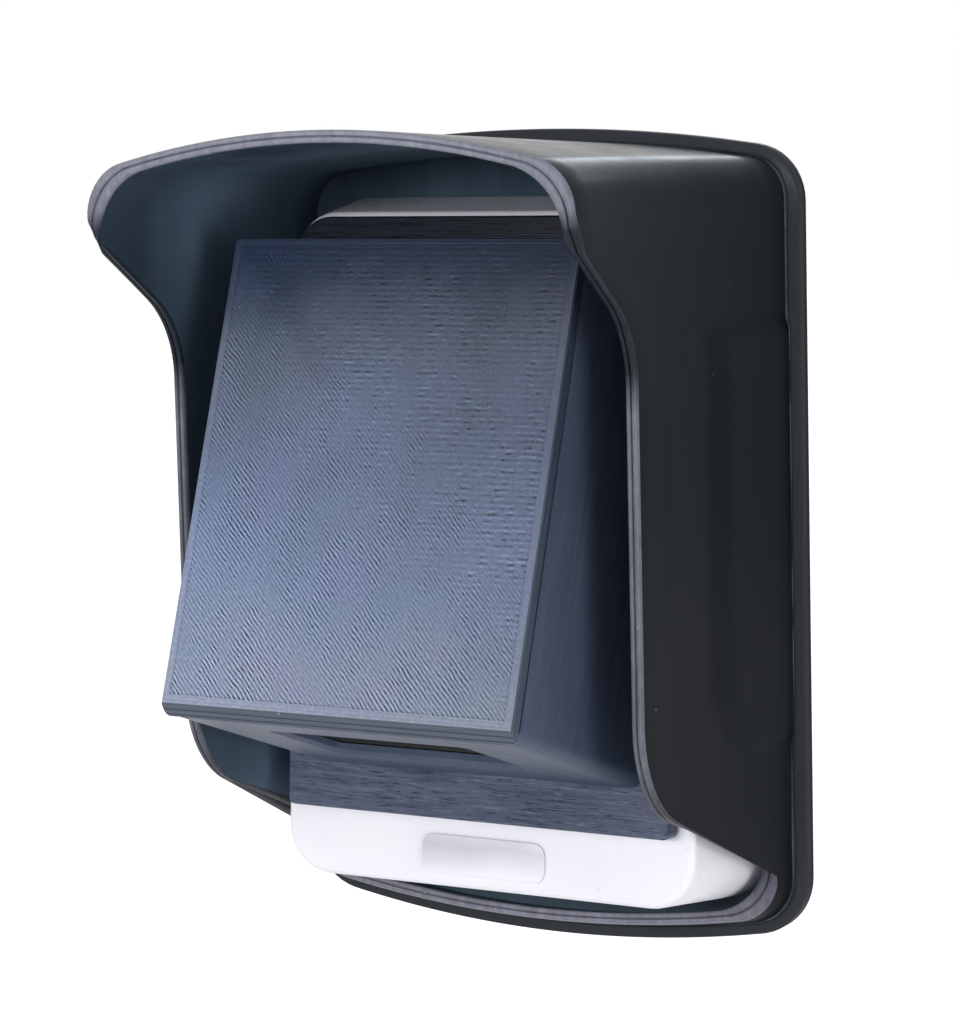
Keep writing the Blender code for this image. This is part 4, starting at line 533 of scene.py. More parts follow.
def wall_outline(depth, inset):
    """The hood wall's outline at a depth, drawn in by an inset."""
    reach = (depth - FLANGE_THICKNESS) / (VISOR_DEPTH - FLANGE_THICKNESS)
    lip_reach = min(1, (depth - FLANGE_THICKNESS) / (LIP_DEPTH - FLANGE_THICKNESS))
    half_width = through_three(depth, ((FLANGE_THICKNESS, HOOD_HALF_WIDTH),
                                       (SIDE_EDGE_DEPTH, SIDE_EDGE_WIDTH / 2),
                                       (VISOR_DEPTH, VISOR_WIDTH / 2)))
    visor_radius = inset_radius(VISOR_RADIUS, VISOR_INNER_RADIUS, inset)
    return hood_outline(half_width - inset, HOOD_TOP + VISOR_LIFT * reach - inset,
                        HOOD_BOTTOM + LIP_LIFT * lip_reach + inset,
                        HOOD_TOP_RISE + (VISOR_RISE - HOOD_TOP_RISE) * reach, HOOD_BOTTOM_DROP,
                        HOOD_TOP_RADIUS + (visor_radius - HOOD_TOP_RADIUS) * reach,
                        inset_radius(HOOD_BOTTOM_RADIUS, HOOD_BOTTOM_INNER_RADIUS, inset))


def pad_height(depth, up):
    """How far the soft pad on the side wall stands out at a place."""
    sides = min(PAD_DEPTH - depth, up - PAD_BOTTOM, PAD_TOP - up)
    corner_depth = depth - (PAD_DEPTH - PAD_CORNER)
    corner_up = (PAD_BOTTOM + PAD_CORNER) - up
    if corner_depth > 0 and corner_up > 0:
        sides = min(sides, PAD_CORNER - math.hypot(corner_depth, corner_up))
    share = min(max(sides / PAD_EDGE, 0), 1)
    return PAD_RAISE * (share * share * (3 - 2 * share))


def hood_loops():
    """Loops from the back of the flange, out along the wall, over the rim and back inside."""
    edge_depths = []
    for index in range(len(wall_outline(LIP_DEPTH, 0))):
        depth = LIP_DEPTH
        for _ in range(EDGE_PASSES):
            depth = front_edge_depth(wall_outline(depth, 0)[index][1])
        edge_depths.append(depth)

    def standing(inset, depth_of, padded=False):
        loop = []
        for index, edge in enumerate(edge_depths):
            depth = depth_of(edge)
            across, up = wall_outline(depth, inset)[index]
            if padded and abs(across) > HOOD_HALF_WIDTH / 2:
                across += math.copysign(pad_height(depth, up), across)
            loop.append(place(across, depth, up))
        return loop

    def straight(depth, inset):
        return facing_loop(wall_outline(depth, inset), depth)

    outer_start = FLANGE_THICKNESS + FLANGE_CHAMFER
    inner_start = HOOD_BACK_THICKNESS + HOOD_ROOT_FILLET
    soft = FLANGE_CHAMFER * SOFT_SHARE
    loops = [
        facing_loop(flange_outline(0), 0),
        facing_loop(flange_outline(0), FLANGE_THICKNESS - FLANGE_CHAMFER),
        facing_loop(flange_outline(soft), FLANGE_THICKNESS - soft),
        facing_loop(flange_outline(FLANGE_CHAMFER), FLANGE_THICKNESS),
        straight(FLANGE_THICKNESS, -FLANGE_CHAMFER),
        straight(FLANGE_THICKNESS + soft, -soft),
    ]
    for step in range(WALL_STEPS):
        share = step / WALL_STEPS
        loops.append(standing(0, lambda edge: outer_start + (edge - HOOD_WALL - outer_start) * share, True))
    for in_share, back_share in RIM_BEAD_SHARES:
        loops.append(standing(in_share * HOOD_WALL, lambda edge: edge - back_share * HOOD_WALL))
    for step in range(WALL_STEPS, 0, -1):
        share = step / WALL_STEPS
        loops.append(standing(HOOD_WALL, lambda edge: inner_start + (edge - RIM_DEPTH - inner_start) * share))
    soft = HOOD_ROOT_FILLET * SOFT_SHARE
    return loops + [straight(inner_start, HOOD_WALL), straight(HOOD_BACK_THICKNESS + soft, HOOD_WALL + soft),
                    straight(HOOD_BACK_THICKNESS, HOOD_WALL + HOOD_ROOT_FILLET)]


def make_hood(materials):
    """Moulded rain hood, in one piece with its flange."""
    groove = ring_shape(facing_loop, flange_outline(SEAL_GROOVE_INSET),
                        flange_outline(SEAL_GROOVE_INSET + SEAL_GROOVE_WIDTH), -OVERRUN, SEAL_GROOVE_DEPTH)
    holes = [mesh_from(groove, "groove")]
    for radius, *spots in ((CABLE_ENTRY_RADIUS, (0, CABLE_ENTRY_HEIGHT)),
                           (SCREW_HOLE_RADIUS, *BRACKET_SCREW_SPOTS), (WALL_HOLE_RADIUS, *WALL_HOLE_SPOTS)):
        holes += [rod(spot, radius, -OVERRUN, HOOD_BACK_THICKNESS + OVERRUN) for spot in spots]
    loops = hood_loops()
    mesh = loft(loops)
    for material in materials:
        mesh.materials.append(material)
    rim_start = HOOD_FOOT_LOOPS + WALL_STEPS
    rim_end = rim_start + len(RIM_BEAD_SHARES) - 1
    for face in mesh.polygons:
        band = face.index // len(loops[0])
        behind = -face.center.y < FLANGE_THICKNESS / 2
        face.material_index = 0 if band < rim_start or behind else 1 if band < rim_end else 2
    add_piece("hood_shell", carved(mesh, holes), materials[0], ("rain_hood",))


# White reader

def reader_loop(inset, way):
    """Loop round the white reader, drawn in by an inset; way runs from 0 at its back to 1 at its front."""
    run = READER_FRONT_DEPTH - READER_BACK_DEPTH
    points = []
    for across, up in rounded_rectangle(READER_WIDTH - 2 * inset, READER_HEIGHT - 2 * inset,
                                        READER_RADIUS - inset):
        depth = READER_BACK_DEPTH + way * (run - math.tan(READER_LEAN) * up)
        end_flare = READER_TOP_FLARE if up > 0 else READER_BOTTOM_FLARE
        points.append(place(across * (1 + 2 * READER_SIDE_FLARE * (1 - way) / READER_WIDTH), depth,
                            READER_CENTRE_HEIGHT + up * (1 + 2 * end_flare * (1 - way) / READER_HEIGHT)))
    return points


def make_front_shell(material):
    """White front shell: flared towards the wall, with a crisp rolled edge round its leaning front."""
    run = READER_FRONT_DEPTH - READER_BACK_DEPTH
    loops = [reader_loop(READER_WALL, 1 - READER_WALL / run), reader_loop(READER_WALL, 0)]
    loops += [reader_loop(0, step / SHELL_STEPS * (1 - READER_BEVEL / run)) for step in range(SHELL_STEPS)]
    loops += [reader_loop(READER_BEVEL * inward, 1 - READER_BEVEL * backward / run)
              for inward, backward in rounding(SHELL_BEVEL_STEPS)]
    add_piece("reader_shell", loft(loops), material, ("front_shell",))


def make_plaque(material):
    """Blank plaque on the reader's chin, with soft edges."""
    back = READER_FRONT_DEPTH + GAP
    soft = PLAQUE_THICKNESS / 2
    loops = []
    for inset, rise in ((0, 0), (0, PLAQUE_THICKNESS - soft),
                        (soft * SOFT_SHARE, PLAQUE_THICKNESS - soft * SOFT_SHARE), (soft, PLAQUE_THICKNESS)):
        outline = rounded_rectangle(PLAQUE_WIDTH - 2 * inset, PLAQUE_HEIGHT - 2 * inset, PLAQUE_RADIUS - inset,
                                    (0, PLAQUE_CENTRE_HEIGHT))
        loops.append(leaning_loop(outline, back + rise))
    add_piece("plaque_blank", loft(loops), material, ("chin_plaque",))


# Printed wedge

def soft_prism(outline_at, stand, back, front, bevel):
    """Prism whose front edge is rounded by a bevel; outline_at draws its outline in by an inset."""
    loops = [stand(outline_at(bevel * PRINT_BACK_INSET), back),
             stand(outline_at(0), back + (front - back) * PRINT_BACK_RUN)]
    way = 1 if front > back else -1
    loops += [stand(outline_at(bevel * inward), front - way * bevel * backward)
              for inward, backward in rounding(PRINT_BEVEL_STEPS)]
    return loft(loops)


def plate_outline(inset):
    """Outline of the adapter plate, drawn in by an inset."""
    return rounded_rectangle(PLATE_WIDTH - 2 * inset, PLATE_TOP - PLATE_BOTTOM - 2 * inset,
                             PLATE_TOP_RADIUS - inset, (0, (PLATE_TOP + PLATE_BOTTOM) / 2),
                             PLATE_BOTTOM_RADIUS - inset)


def wedge_ring(inset, lower_radius):
    """Outline of the wedge seen square to its front face, drawn in by an inset."""
    upper, lower = [max(radius - inset, WEDGE_CORNER_RADIUS / 2)
                    for radius in (WEDGE_CORNER_RADIUS, lower_radius)]
    return rounded_rectangle(WEDGE_WIDTH - 2 * inset, WEDGE_FACE_LENGTH + WEDGE_CHIN - 2 * inset, upper,
                             (0, (WEDGE_FACE_LENGTH - WEDGE_CHIN) / 2), lower)


def make_plate(material):
    """Adapter plate with soft printed edges."""
    mesh = soft_prism(plate_outline, leaning_loop, PLATE_BACK, PLATE_FRONT, PLATE_BEVEL)
    add_piece("printed_plate", mesh, material, ("adapter_plate",))


def window_cutter():
    """Opening for the scan window, flared at the underside."""
    loops = []
    centre = (0, WINDOW_SETBACK + WINDOW_LENGTH / 2)
    for grow, height in ((WINDOW_CHAMFER * 2, -WINDOW_CHAMFER), (0, WINDOW_CHAMFER), (0, WEDGE_WALL + OVERRUN)):
        outline = rounded_rectangle(WINDOW_WIDTH + 2 * grow, WINDOW_LENGTH + 2 * grow, WINDOW_RADIUS, centre)
        loops.append([FLOOR_FRAME @ Vector((across, back, height)) for across, back in outline])
    return loft(loops)


def make_wedge(side_material, face_material, edge_material):
    """Printed wedge: its sleeve, and the cover that closes its front."""
    shape = ring_shape(wedge_loop, wedge_ring(0, WEDGE_LOWER_RADIUS), wedge_ring(WEDGE_WALL, WEDGE_LOWER_RADIUS),
                       COVER_THICKNESS + GAP, WEDGE_EDGE_DEPTH)
    edges = cut_off(shape, LEAN @ place(0, WEDGE_BACK, 0), LEAN.to_3x3() @ Vector((0, 1, 0)))
    bmesh.ops.bridge_loops(shape, edges=edges)
    sleeve = carved(mesh_from(shape, "sleeve"), [window_cutter()])
    add_piece("wedge_sleeve", sleeve, side_material, ("wedge_housing",))
    shape = bmesh.new()
    shape.from_mesh(soft_prism(lambda inset: wedge_ring(inset, WEDGE_CORNER_RADIUS), wedge_loop,
                               COVER_THICKNESS, 0, COVER_BEVEL))
    chin_normal = WEDGE_FRAME.to_3x3() @ Vector((0, -WEDGE_CHIN, -WEDGE_CHIN_DEPTH)).normalized()
    bmesh.ops.holes_fill(shape, edges=cut_off(shape, WEDGE_FRAME.translation, chin_normal))
    body = add_piece("wedge_cover", mesh_from(shape, "cover"), face_material, ("front_cover",))
    body.data.materials.append(edge_material)
    outward = (WEDGE_FRAME.to_3x3() @ Vector((0, -1, 0))).normalized()
    for face in body.data.polygons:
        if face.normal.dot(outward) < FRONT_FACING:
            face.material_index = 1


# Materials: every one is built from object coordinates, which are metres in the frame of the model

LAYER_HEIGHT = 0.0006
COVER_LAYER_HEIGHT = 0.00105
RASTER_PITCH = 0.00088
RASTER_ANGLE = math.radians(45)
DASH_PITCH = 0.00135
BORDER_WIDTH = 0.002
BORDER_PITCH = 0.0009
COIL_HALF_WIDTH = 0.0376
COIL_HALF_HEIGHT = 0.0480
COIL_PITCH = 0.0009
RIBBON_PITCH = 0.001
# Waves of the board's tracks across and up, in radians in a metre
TRACK_WAVES = (3100, 2700)
# Colours of the cover's skin from its lower edge to its top, as the light falls off under the visor
FACE_SHADES = ((0.03, (0.168, 0.205, 0.285)), (0.26, (0.118, 0.162, 0.260)), (0.52, (0.083, 0.112, 0.190)),
               (0.76, (0.050, 0.069, 0.108)), (0.95, (0.016, 0.027, 0.055)))
# Colours of the rim from its lowest place to its highest: painted highlights where it catches the light, painted
# shade between
RIM_PAINTED_LIGHT = ((0.0, (0.26, 0.26, 0.31)), (0.085, (0.12, 0.12, 0.15)), (0.14, (0.018, 0.020, 0.027)),
              (0.24, (0.04, 0.04, 0.05)), (0.30, (0.118, 0.128, 0.148)), (0.68, (0.135, 0.146, 0.172)),
              (0.735, (0.012, 0.016, 0.022)), (0.89, (0.014, 0.018, 0.026)), (0.915, (0.16, 0.165, 0.20)),
              (1.0, (0.24, 0.245, 0.29)))


def sum_node(operation):
    """Operator that makes a node for a sum of two values."""
    return lambda first, second: first.look.math(operation, first, second)


class Value:
    """Output of a material's node, open to plain sums."""

    def __init__(self, look, socket):
        self.look = look
        self.socket = socket

    __add__ = sum_node("ADD")
    __sub__ = sum_node("SUBTRACT")
    __mul__ = sum_node("MULTIPLY")
    __truediv__ = sum_node("DIVIDE")

    def __rsub__(self, other):
        return self.look.math("SUBTRACT", other, self)

    def __abs__(self):
        return self.look.math("ABSOLUTE", self)


class Look:
    """Principled material with short calls for the nodes that shape its colour, roughness and relief.

    A matrix, if there is one, places the frame in which the coordinates are read."""

    def __init__(self, name, colour, roughness, specular=0.5, matrix=None, **settings):
        self.material = bpy.data.materials.new(name)
        self.material.use_nodes = True
        self.tree = self.material.node_tree
        self.shader = self.tree.nodes["Principled BSDF"]
        named = {setting.replace("_", " "): value for setting, value in settings.items()}
        self.feed(self.shader, {"Base Color": colour, "Roughness": roughness,
                                "Specular IOR Level": specular, **named})
        self.spot = self.node("ShaderNodeTexCoord", {}, "Object")
        if matrix is not None:
            self.spot = self.node("ShaderNodeMapping", {0: self.spot, 1: tuple(matrix.translation),
                                                        2: tuple(matrix.to_euler())}, vector_type="TEXTURE")

    def feed(self, node, inputs):
        """Set a node's inputs, or link those whose value comes from another node."""
        for name, value in inputs.items():
            socket = node.inputs[name]
            if isinstance(value, Value):
                self.tree.links.new(value.socket, socket)
            elif value is not None:
                socket.default_value = (*value, 1) if socket.type == "RGBA" else value

    def node(self, kind, inputs, output=0, **settings):
        """Value from a new node with its settings and inputs."""
        made = self.tree.nodes.new(kind)
        for name, value in settings.items():
            setattr(made, name, value)
        self.feed(made, inputs)
        return Value(self, made.outputs[output])

    def math(self, operation, first, second=None):
        """Result of a sum."""
        return self.node("ShaderNodeMath", {0: first, 1: second}, operation=operation)

    def wave(self, value, pitch):
        """Wave from -1 to 1 that repeats at a pitch."""
        return self.math("SINE", value * (2 * math.pi / pitch))

    def parts(self):
        """The place across, into the wall and up."""
        split = self.node("ShaderNodeSeparateXYZ", {0: self.spot}).socket.node
        return [Value(self, output) for output in split.outputs]

    def noise(self, stretch, detail=3.0, rough=0.55):
        """Noise from 0 to 1; stretch is how many waves it has in a metre, alike or along each axis."""
        waves = stretch if isinstance(stretch, tuple) else (stretch,) * 3
        scaled = self.node("ShaderNodeMapping", {0: self.spot, 3: waves})
        return self.node("ShaderNodeTexNoise", {0: scaled, "Scale": 1, "Detail": detail, "Roughness": rough})

    def spots(self, density, size):
        """Small soft spots, 1 in their middles, with so many cells in a metre."""
        cells = self.node("ShaderNodeTexVoronoi", {0: self.spot, "Scale": density}, "Distance")
        return self.span(cells, size, size * 0.4)

    def span(self, value, low, high, start=0.0, end=1.0):
        """Value turned from one range to another, and held there."""
        return self.node("ShaderNodeMapRange", {0: value, 1: low, 2: high, 3: start, 4: end})

    def swing(self, noise, start, end):
        """The middle of a noise turned to a range."""
        return self.span(noise, 0.3, 0.7, start, end)

    def ramp(self, value, stops):
        """Colour from a value, through stops of place and colour."""
        made = self.node("ShaderNodeValToRGB", {0: value})
        line = made.socket.node.color_ramp
        while len(line.elements) < len(stops):
            line.elements.new(1)
        for element, (spot, colour) in zip(line.elements, stops):
            element.position = spot
            element.color = (*colour, 1)
        return made

    def mix(self, share, first, second):
        """Colour between two colours."""
        return self.node("ShaderNodeMix", {0: share, 6: first, 7: second}, 2, data_type="RGBA")

    def scale(self, colour, tone):
        """Colour made darker or lighter by a tone."""
        return self.node("ShaderNodeVectorMath", {0: colour, "Scale": tone}, operation="SCALE")

    def tint(self, colour, by):
        """Colour with each of its parts multiplied."""
        return self.node("ShaderNodeVectorMath", {0: colour, 1: by}, operation="MULTIPLY")

    def finish(self, colour, roughness, height, distance):
        """Material with its colour, its roughness and its bump from 0 to 1 over a distance in metres."""
        bump = self.node("ShaderNodeBump", {"Strength": 1, "Distance": distance, "Height": height})
        self.feed(self.shader, {"Base Color": colour, "Roughness": roughness, "Normal": bump})
        return self.material


def moulded(name, colour, roughness, specular, variation, grain, relief=0.00002, dust=None):
    """Moulded plastic or rubber: fine grain, uneven sheen, faint clouding and a little dust."""
    look = Look(name, colour, roughness, specular)
    cloud = look.noise(38, 4)
    shade = look.scale(colour, look.swing(cloud, 1 - variation, 1 + variation))
    if dust:
        shade = look.mix(look.spots(95, 0.055) * 0.6, shade, dust)
    return look.finish(shade, look.swing(look.noise(90), roughness * 0.85, roughness * 1.2),
                       cloud * 4 + look.noise(grain, 2), relief)


def hood_outside():
    """Near-black glossy plastic with a teal cast towards its top."""
    look = Look("hood_gloss", (0.012, 0.014, 0.017), 0.36, 0.035)
    _, back, up = look.parts()
    cloud = look.noise((22, 22, 14), 4)
    smear = look.noise((60, 60, 9), 4, 0.7)
    shade = look.ramp(look.span(up, -0.02, 0.10) + (cloud - 0.5) * 0.5,
                      ((0.0, (0.0070, 0.0088, 0.0112)), (0.45, (0.0032, 0.0058, 0.0078)),
                       (1.0, (0.0062, 0.0112, 0.0165))))
    shade = look.scale(shade, look.span(smear, 0.3, 0.75, 0.85, 1.2))
    # The flange is painted a lighter grey, standing in for the light on its face, with a fine painted highlight
    # where the wall rises from it
    front = -FLANGE_THICKNESS
    flange = look.span(back, front - 0.0004, front) * look.span(back, -0.0010, -0.0020)
    shade = look.mix(flange * 0.8, shade, (0.040, 0.043, 0.049))
    # Painted highlight on the fillet at the root of the wall
    root = look.span(back, front - 0.0013, front - 0.0009) * look.span(back, front - 0.0003, front - 0.0007)
    shade = look.mix(root * look.span(look.noise(70), 0.38, 0.6, 0.15, 0.8), shade, (0.10, 0.115, 0.135))
    shade = look.mix(look.spots(60, 0.013), shade, (0.45, 0.46, 0.48))
    return look.finish(shade, look.swing(smear, 0.30, 0.46) * look.span(up, 0.072, 0.086, 1.0, 0.6),
                       cloud * 6 + look.noise(1500, 2), 0.000016)


def hood_inside():
    """The same plastic inside: dark teal, with painted light deeper in and towards its top, and painted shade at
    its front edge and on its back plate.
    """
    look = Look("hood_inner", (0.016, 0.026, 0.040), 0.4, 0.15)
    _, back, up = look.parts()
    cloud = look.noise((30, 30, 18), 4)
    streak = look.noise((140, 20, 30))
    shade = look.ramp(cloud * 0.7 + streak * 0.3,
                      ((0.3, (0.025, 0.039, 0.054)), (0.55, (0.038, 0.059, 0.082)),
                       (0.8, (0.052, 0.079, 0.105))))
    # Painted light and shade: lighter deeper in and towards the top, darker at the front edge and on the back
    # plate
    shade = look.scale(shade, look.span(back, -0.085, -0.035, 0.62, 2.4))
    shade = look.scale(shade, look.span(up, 0.055, 0.085, 1.0, 1.6))
    shade = look.scale(shade, look.span(back, -0.016, -0.004, 1.0, 0.45))
    return look.finish(shade, look.swing(streak, 0.34, 0.5), cloud * 5 + look.noise(1300, 2), 0.000016)


def hood_rim():
    """Moulded bead round the edge, with painted highlights where it catches the light and painted shade between.
    """
    look = Look("hood_rim", (0.1, 0.1, 0.13), 0.34, 0.12)
    up = look.parts()[2]
    grit = look.noise((500, 500, 160), 3, 0.7)
    # Painted highlights and shade along the rim, set by height
    rim_light_and_shade = look.ramp(look.span(up + (look.noise(55) - 0.5) * 0.006, -0.1, 0.1), RIM_PAINTED_LIGHT)
    rim_light_and_shade = look.scale(rim_light_and_shade, look.swing(grit, 0.78, 1.25))
    return look.finish(look.mix(look.spots(75, 0.035), rim_light_and_shade, (0.7, 0.7, 0.72)),
                       look.swing(grit, 0.26, 0.45), grit, 0.00002)


def white_plastic():
    """White plastic of the reader: clean, faintly lavender in its clouding, with a satin grain."""
    look = Look("white_shell", (0.86, 0.85, 0.89), 0.32, 0.45)
    shade = look.ramp(look.noise(16, 4), ((0.35, (0.84, 0.825, 0.875)), (0.65, (0.88, 0.875, 0.9))))
    return look.finish(shade, look.swing(look.noise(120), 0.27, 0.4), look.noise(900, 2), 0.000012)


def plaque_grey():
    """Blank plaque: pale grey that clears towards its lower edge."""
    look = Look("plaque_grey", (0.75, 0.75, 0.79), 0.38, matrix=LEAN)
    up = look.parts()[2]
    low = PLAQUE_CENTRE_HEIGHT - PLAQUE_HEIGHT / 2
    shade = look.ramp(look.span(up + (look.noise(90) - 0.5) * 0.003, low, low + PLAQUE_HEIGHT),
                      ((0.1, (0.84, 0.84, 0.88)), (0.75, (0.60, 0.60, 0.645)), (1.0, (0.68, 0.68, 0.72))))
    return look.finish(shade, look.swing(look.noise(200), 0.32, 0.48), look.noise(1200, 2), 0.000012)


def print_layers(name, matrix, axis, dark, light, dashes, painted_falloff):
    """Printed plastic seen from its side: fine layer lines, uneven dashes of colour and a ribbed relief.

    The layers are stacked along an axis of the frame that the matrix places. The painted falloff names the axis
    along which a painted light-and-shade tone changes, where that starts and ends, and the tone at its end."""
    look = Look(name, light, 0.46, 0.16, matrix)
    places = look.parts()

    def layered(along, others, detail, rough):
        return look.noise(tuple(along if index == axis else others for index in range(3)), detail, rough)

    def toned(colour, red, green, blue):
        return (colour[0] * red, colour[1] * green, colour[2] * blue)

    streak = layered(1500, 26, 4, 0.75)
    broad = layered(420, 26, 3, 0.6)
    dash = layered(2300, 230, 2, 0.6)
    middle = tuple((first + second) / 2 for first, second in zip(dark, light))
    shade = look.ramp(streak * 0.55 + broad * 0.45, ((0.33, dark), (0.5, middle), (0.68, light)))
    shade = look.mix(look.span(look.noise(32, 4), 0.45, 0.75) * 0.35, shade, toned(light, 1.1, 0.95, 1.15))
    shade = look.mix(look.span(dash, 0.58, 0.66) * dashes, shade, toned(dark, 0.5, 0.5, 0.5))
    shade = look.mix(look.span(dash, 0.40, 0.33) * (dashes * 0.6), shade, toned(light, 1.3, 1.4, 1.35))
    # Painted light and shade: the tone changes along one axis towards its end
    reach, start, end, level = painted_falloff
    shade = look.scale(shade, look.span(places[reach], start, end, 1.0, level))
    return look.finish(shade, look.swing(streak, 0.32, 0.5),
                       look.wave(places[axis], LAYER_HEIGHT) * 0.35 + streak, 0.00005)


def print_face():
    """Top skin of the printed cover: raster lines inside a smooth border, with painted shade under the visor,
    painted light falling off from left to right, and painted glints.
    """
    look = Look("print_face", (0.14, 0.18, 0.28), 0.4, 0.4, WEDGE_FRAME)
    across, _, up = look.parts()
    half = WEDGE_WIDTH / 2
    share = up / WEDGE_FACE_LENGTH
    patch = look.noise(75, 3, 0.6)
    # Raster lines slope down to the right; towards the top and the right they give way to short level dashes
    wobble = look.noise(190) * 0.0011
    lines = look.wave(across * math.sin(RASTER_ANGLE) + up * math.cos(RASTER_ANGLE) + wobble, RASTER_PITCH)
    level = look.wave(up + wobble, DASH_PITCH) * look.span(look.noise((420, 420, 900), 2), 0.42, 0.6)
    side = look.span(share * 1.1 + across / half * 0.42 + (patch - 0.5) * 1.1, 0.45, 0.8)
    strong = (look.span(look.noise((110, 110, 60), 3, 0.6), 0.36, 0.60, 0.10, 1.0)
              * look.span(look.noise(650, 2), 0.36, 0.60, 0.3, 1.25))
    # Distance in from the cover's edges, which the border follows
    edge = look.math("MINIMUM", half - abs(across), look.math("MINIMUM", up, WEDGE_FACE_LENGTH - up))
    border = look.span(edge, BORDER_WIDTH + 0.0002, BORDER_WIDTH - 0.0002)
    pattern = (lines * (1 - side) + level * side) * strong * (1 - border)
    rings = look.wave(edge, BORDER_PITCH) * border
    groove = look.span(abs(edge - (BORDER_WIDTH + 0.00015)), 0.00022, 0.00008) * 0.35
    grain = look.noise(1100, 2) - 0.5
    shade = look.ramp(share + (look.noise((26, 26, 20), 4, 0.6) - 0.5) * 0.6, FACE_SHADES)
    shade = look.mix(look.span(patch, 0.35, 0.65) * 0.30, shade, look.scale(shade, 1.1))
    shade = look.mix(look.span(look.noise(48), 0.4, 0.6), look.tint(shade, (1.03, 0.97, 1.02)),
                     look.tint(shade, (0.97, 1.02, 0.99)))
    shade = look.mix(border, shade, look.tint(shade, (1.22, 1.16, 1.1)))
    tone = pattern * 0.95 + 1.0 + rings * 0.07 + grain * 0.8 - groove
    # Painted light falling off across the face, lighter on the left and darker on the right
    shade = look.scale(shade, tone * look.span(across, -half, half, 1.20, 0.74))
    # Painted glints: small pale spots inside the border
    shade = look.mix(look.spots(420, 0.10) * (1 - border) * 0.35, shade, (0.26, 0.30, 0.36))
    return look.finish(shade, look.span(pattern + grain, -1, 1, 0.5, 0.34), pattern * 0.5 + rings * 0.25, 0.00005)


def cover_edge():
    """Printed cover seen on edge: three fine grooves between its layers, a painted highlight along its front
    corner, slate below, and painted shade towards its top.
    """
    look = Look("print_edge", (0.05, 0.06, 0.08), 0.4, 0.2, WEDGE_FRAME)
    _, back, up = look.parts()
    streak = look.noise((40, 1500, 40), 4, 0.7)
    seam = look.span(look.wave(back, COVER_LAYER_HEIGHT), 0.35, 0.9)
    shade = look.mix(look.span(up, 0.004, -0.001), (0.055, 0.072, 0.110), (0.080, 0.100, 0.136))
    shade = look.scale(shade, look.swing(streak, 0.75, 1.2))
    shade = look.mix(seam * 0.7, shade, (0.012, 0.014, 0.02))
    # Painted highlight along the front corner, on its bevel
    shade = look.mix(look.span(back, 0.0006, 0.0001) * 0.5, shade, (0.16, 0.17, 0.2))
    shade = look.mix(look.spots(130, 0.05), shade, (0.6, 0.6, 0.62))
    # Painted shade, darker towards the top under the visor
    shade = look.scale(shade, look.span(up / WEDGE_FACE_LENGTH, 0.2, 1.0, 1.0, 0.5))
    return look.finish(shade, look.swing(streak, 0.3, 0.5), streak - seam * 2, 0.00006)


def metal(name, colour, roughness):
    """Sheet or turned metal with fine brushing, faint tarnish and small scratches."""
    look = Look(name, colour, roughness, Metallic=1.0)
    brush = look.noise((30, 30, 900), 4, 0.7)
    shade = look.scale(colour, look.span(look.noise(130, 4), 0.3, 0.75, 1.05, 0.78))
    shade = look.scale(shade, look.swing(brush, 0.93, 1.05))
    return look.finish(shade, look.swing(brush, roughness * 0.75, roughness * 1.35), brush, 0.00001)


def circuit_board():
    """Solder mask over copper tracks, with a glassy sheen and rows of small gold pads."""
    look = Look("circuit_board", (0.01, 0.12, 0.05), 0.28)
    across, _, up = look.parts()
    track = look.math("MAXIMUM", look.span(look.math("SINE", across * TRACK_WAVES[0]), 0.5, 0.75),
                      look.span(look.math("SINE", up * TRACK_WAVES[1]), 0.6, 0.85))
    track = track * look.span(look.noise(110, 1), 0.48, 0.53)
    pads = look.spots(330, 0.24)
    shade = look.mix(track, (0.010, 0.115, 0.045), (0.028, 0.20, 0.075))
    shade = look.scale(look.mix(pads, shade, (0.72, 0.52, 0.2)), look.swing(look.noise(40), 0.85, 1.12))
    return look.finish(shade, look.span(pads, 0, 1, 0.26, 0.4), track + pads, 0.00004)


def copper_turns():
    """Board with flat copper turns that follow its outline."""
    look = Look("copper_turns", (0.5, 0.3, 0.14), 0.4, matrix=LEAN)
    across, _, up = look.parts()
    edge = look.math("MINIMUM", COIL_HALF_WIDTH - abs(across),
                     COIL_HALF_HEIGHT - abs(up - READER_CENTRE_HEIGHT))
    turn = look.span(look.wave(edge, COIL_PITCH), -0.2, 0.2)
    copper = look.ramp(look.noise(90), ((0.3, (0.62, 0.31, 0.17)), (0.7, (0.75, 0.40, 0.24))))
    return look.finish(look.mix(turn, (0.02, 0.10, 0.045), copper), look.span(turn, 0, 1, 0.5, 0.3),
                       turn, 0.00003)


def flexible_circuit():
    """Amber flexible circuit with its tracks running along it."""
    look = Look("flexible_circuit", (0.5, 0.25, 0.06), 0.35)
    track = look.span(look.wave(look.parts()[0], RIBBON_PITCH), 0.0, 0.3)
    film = look.noise(120)
    shade = look.scale(look.mix(track, (0.42, 0.17, 0.03), (0.60, 0.30, 0.10)), look.swing(film, 0.9, 1.1))
    return look.finish(shade, look.swing(film, 0.28, 0.42), track, 0.00003)


def window_pane():
    """Dark tinted pane, clear enough to show the scan engine."""
    look = Look("window_pane", (0.24, 0.26, 0.29), 0.05, Transmission_Weight=0.9, IOR=1.47)
    smear = look.noise(70, 4, 0.7)
    return look.finish(look.ramp(smear, ((0.3, (0.22, 0.24, 0.27)), (0.7, (0.30, 0.32, 0.35)))),
                       look.span(smear, 0.45, 0.75, 0.03, 0.11), look.noise(600, 2), 0.000004)


def lens_glass():
    """Coated lens: deep and glossy, with a violet film."""
    colour = (0.012, 0.014, 0.030)
    look = Look("lens_glass", colour, 0.04, 0.6, Coat_Weight=1.0, Coat_Roughness=0.25)
    film = look.noise(400, 2)
    return look.finish(look.ramp(film, ((0.35, colour), (0.65, (0.0572, 0.0344, 0.092)))),
                       look.swing(film, 0.03, 0.08), film, 0.000004)


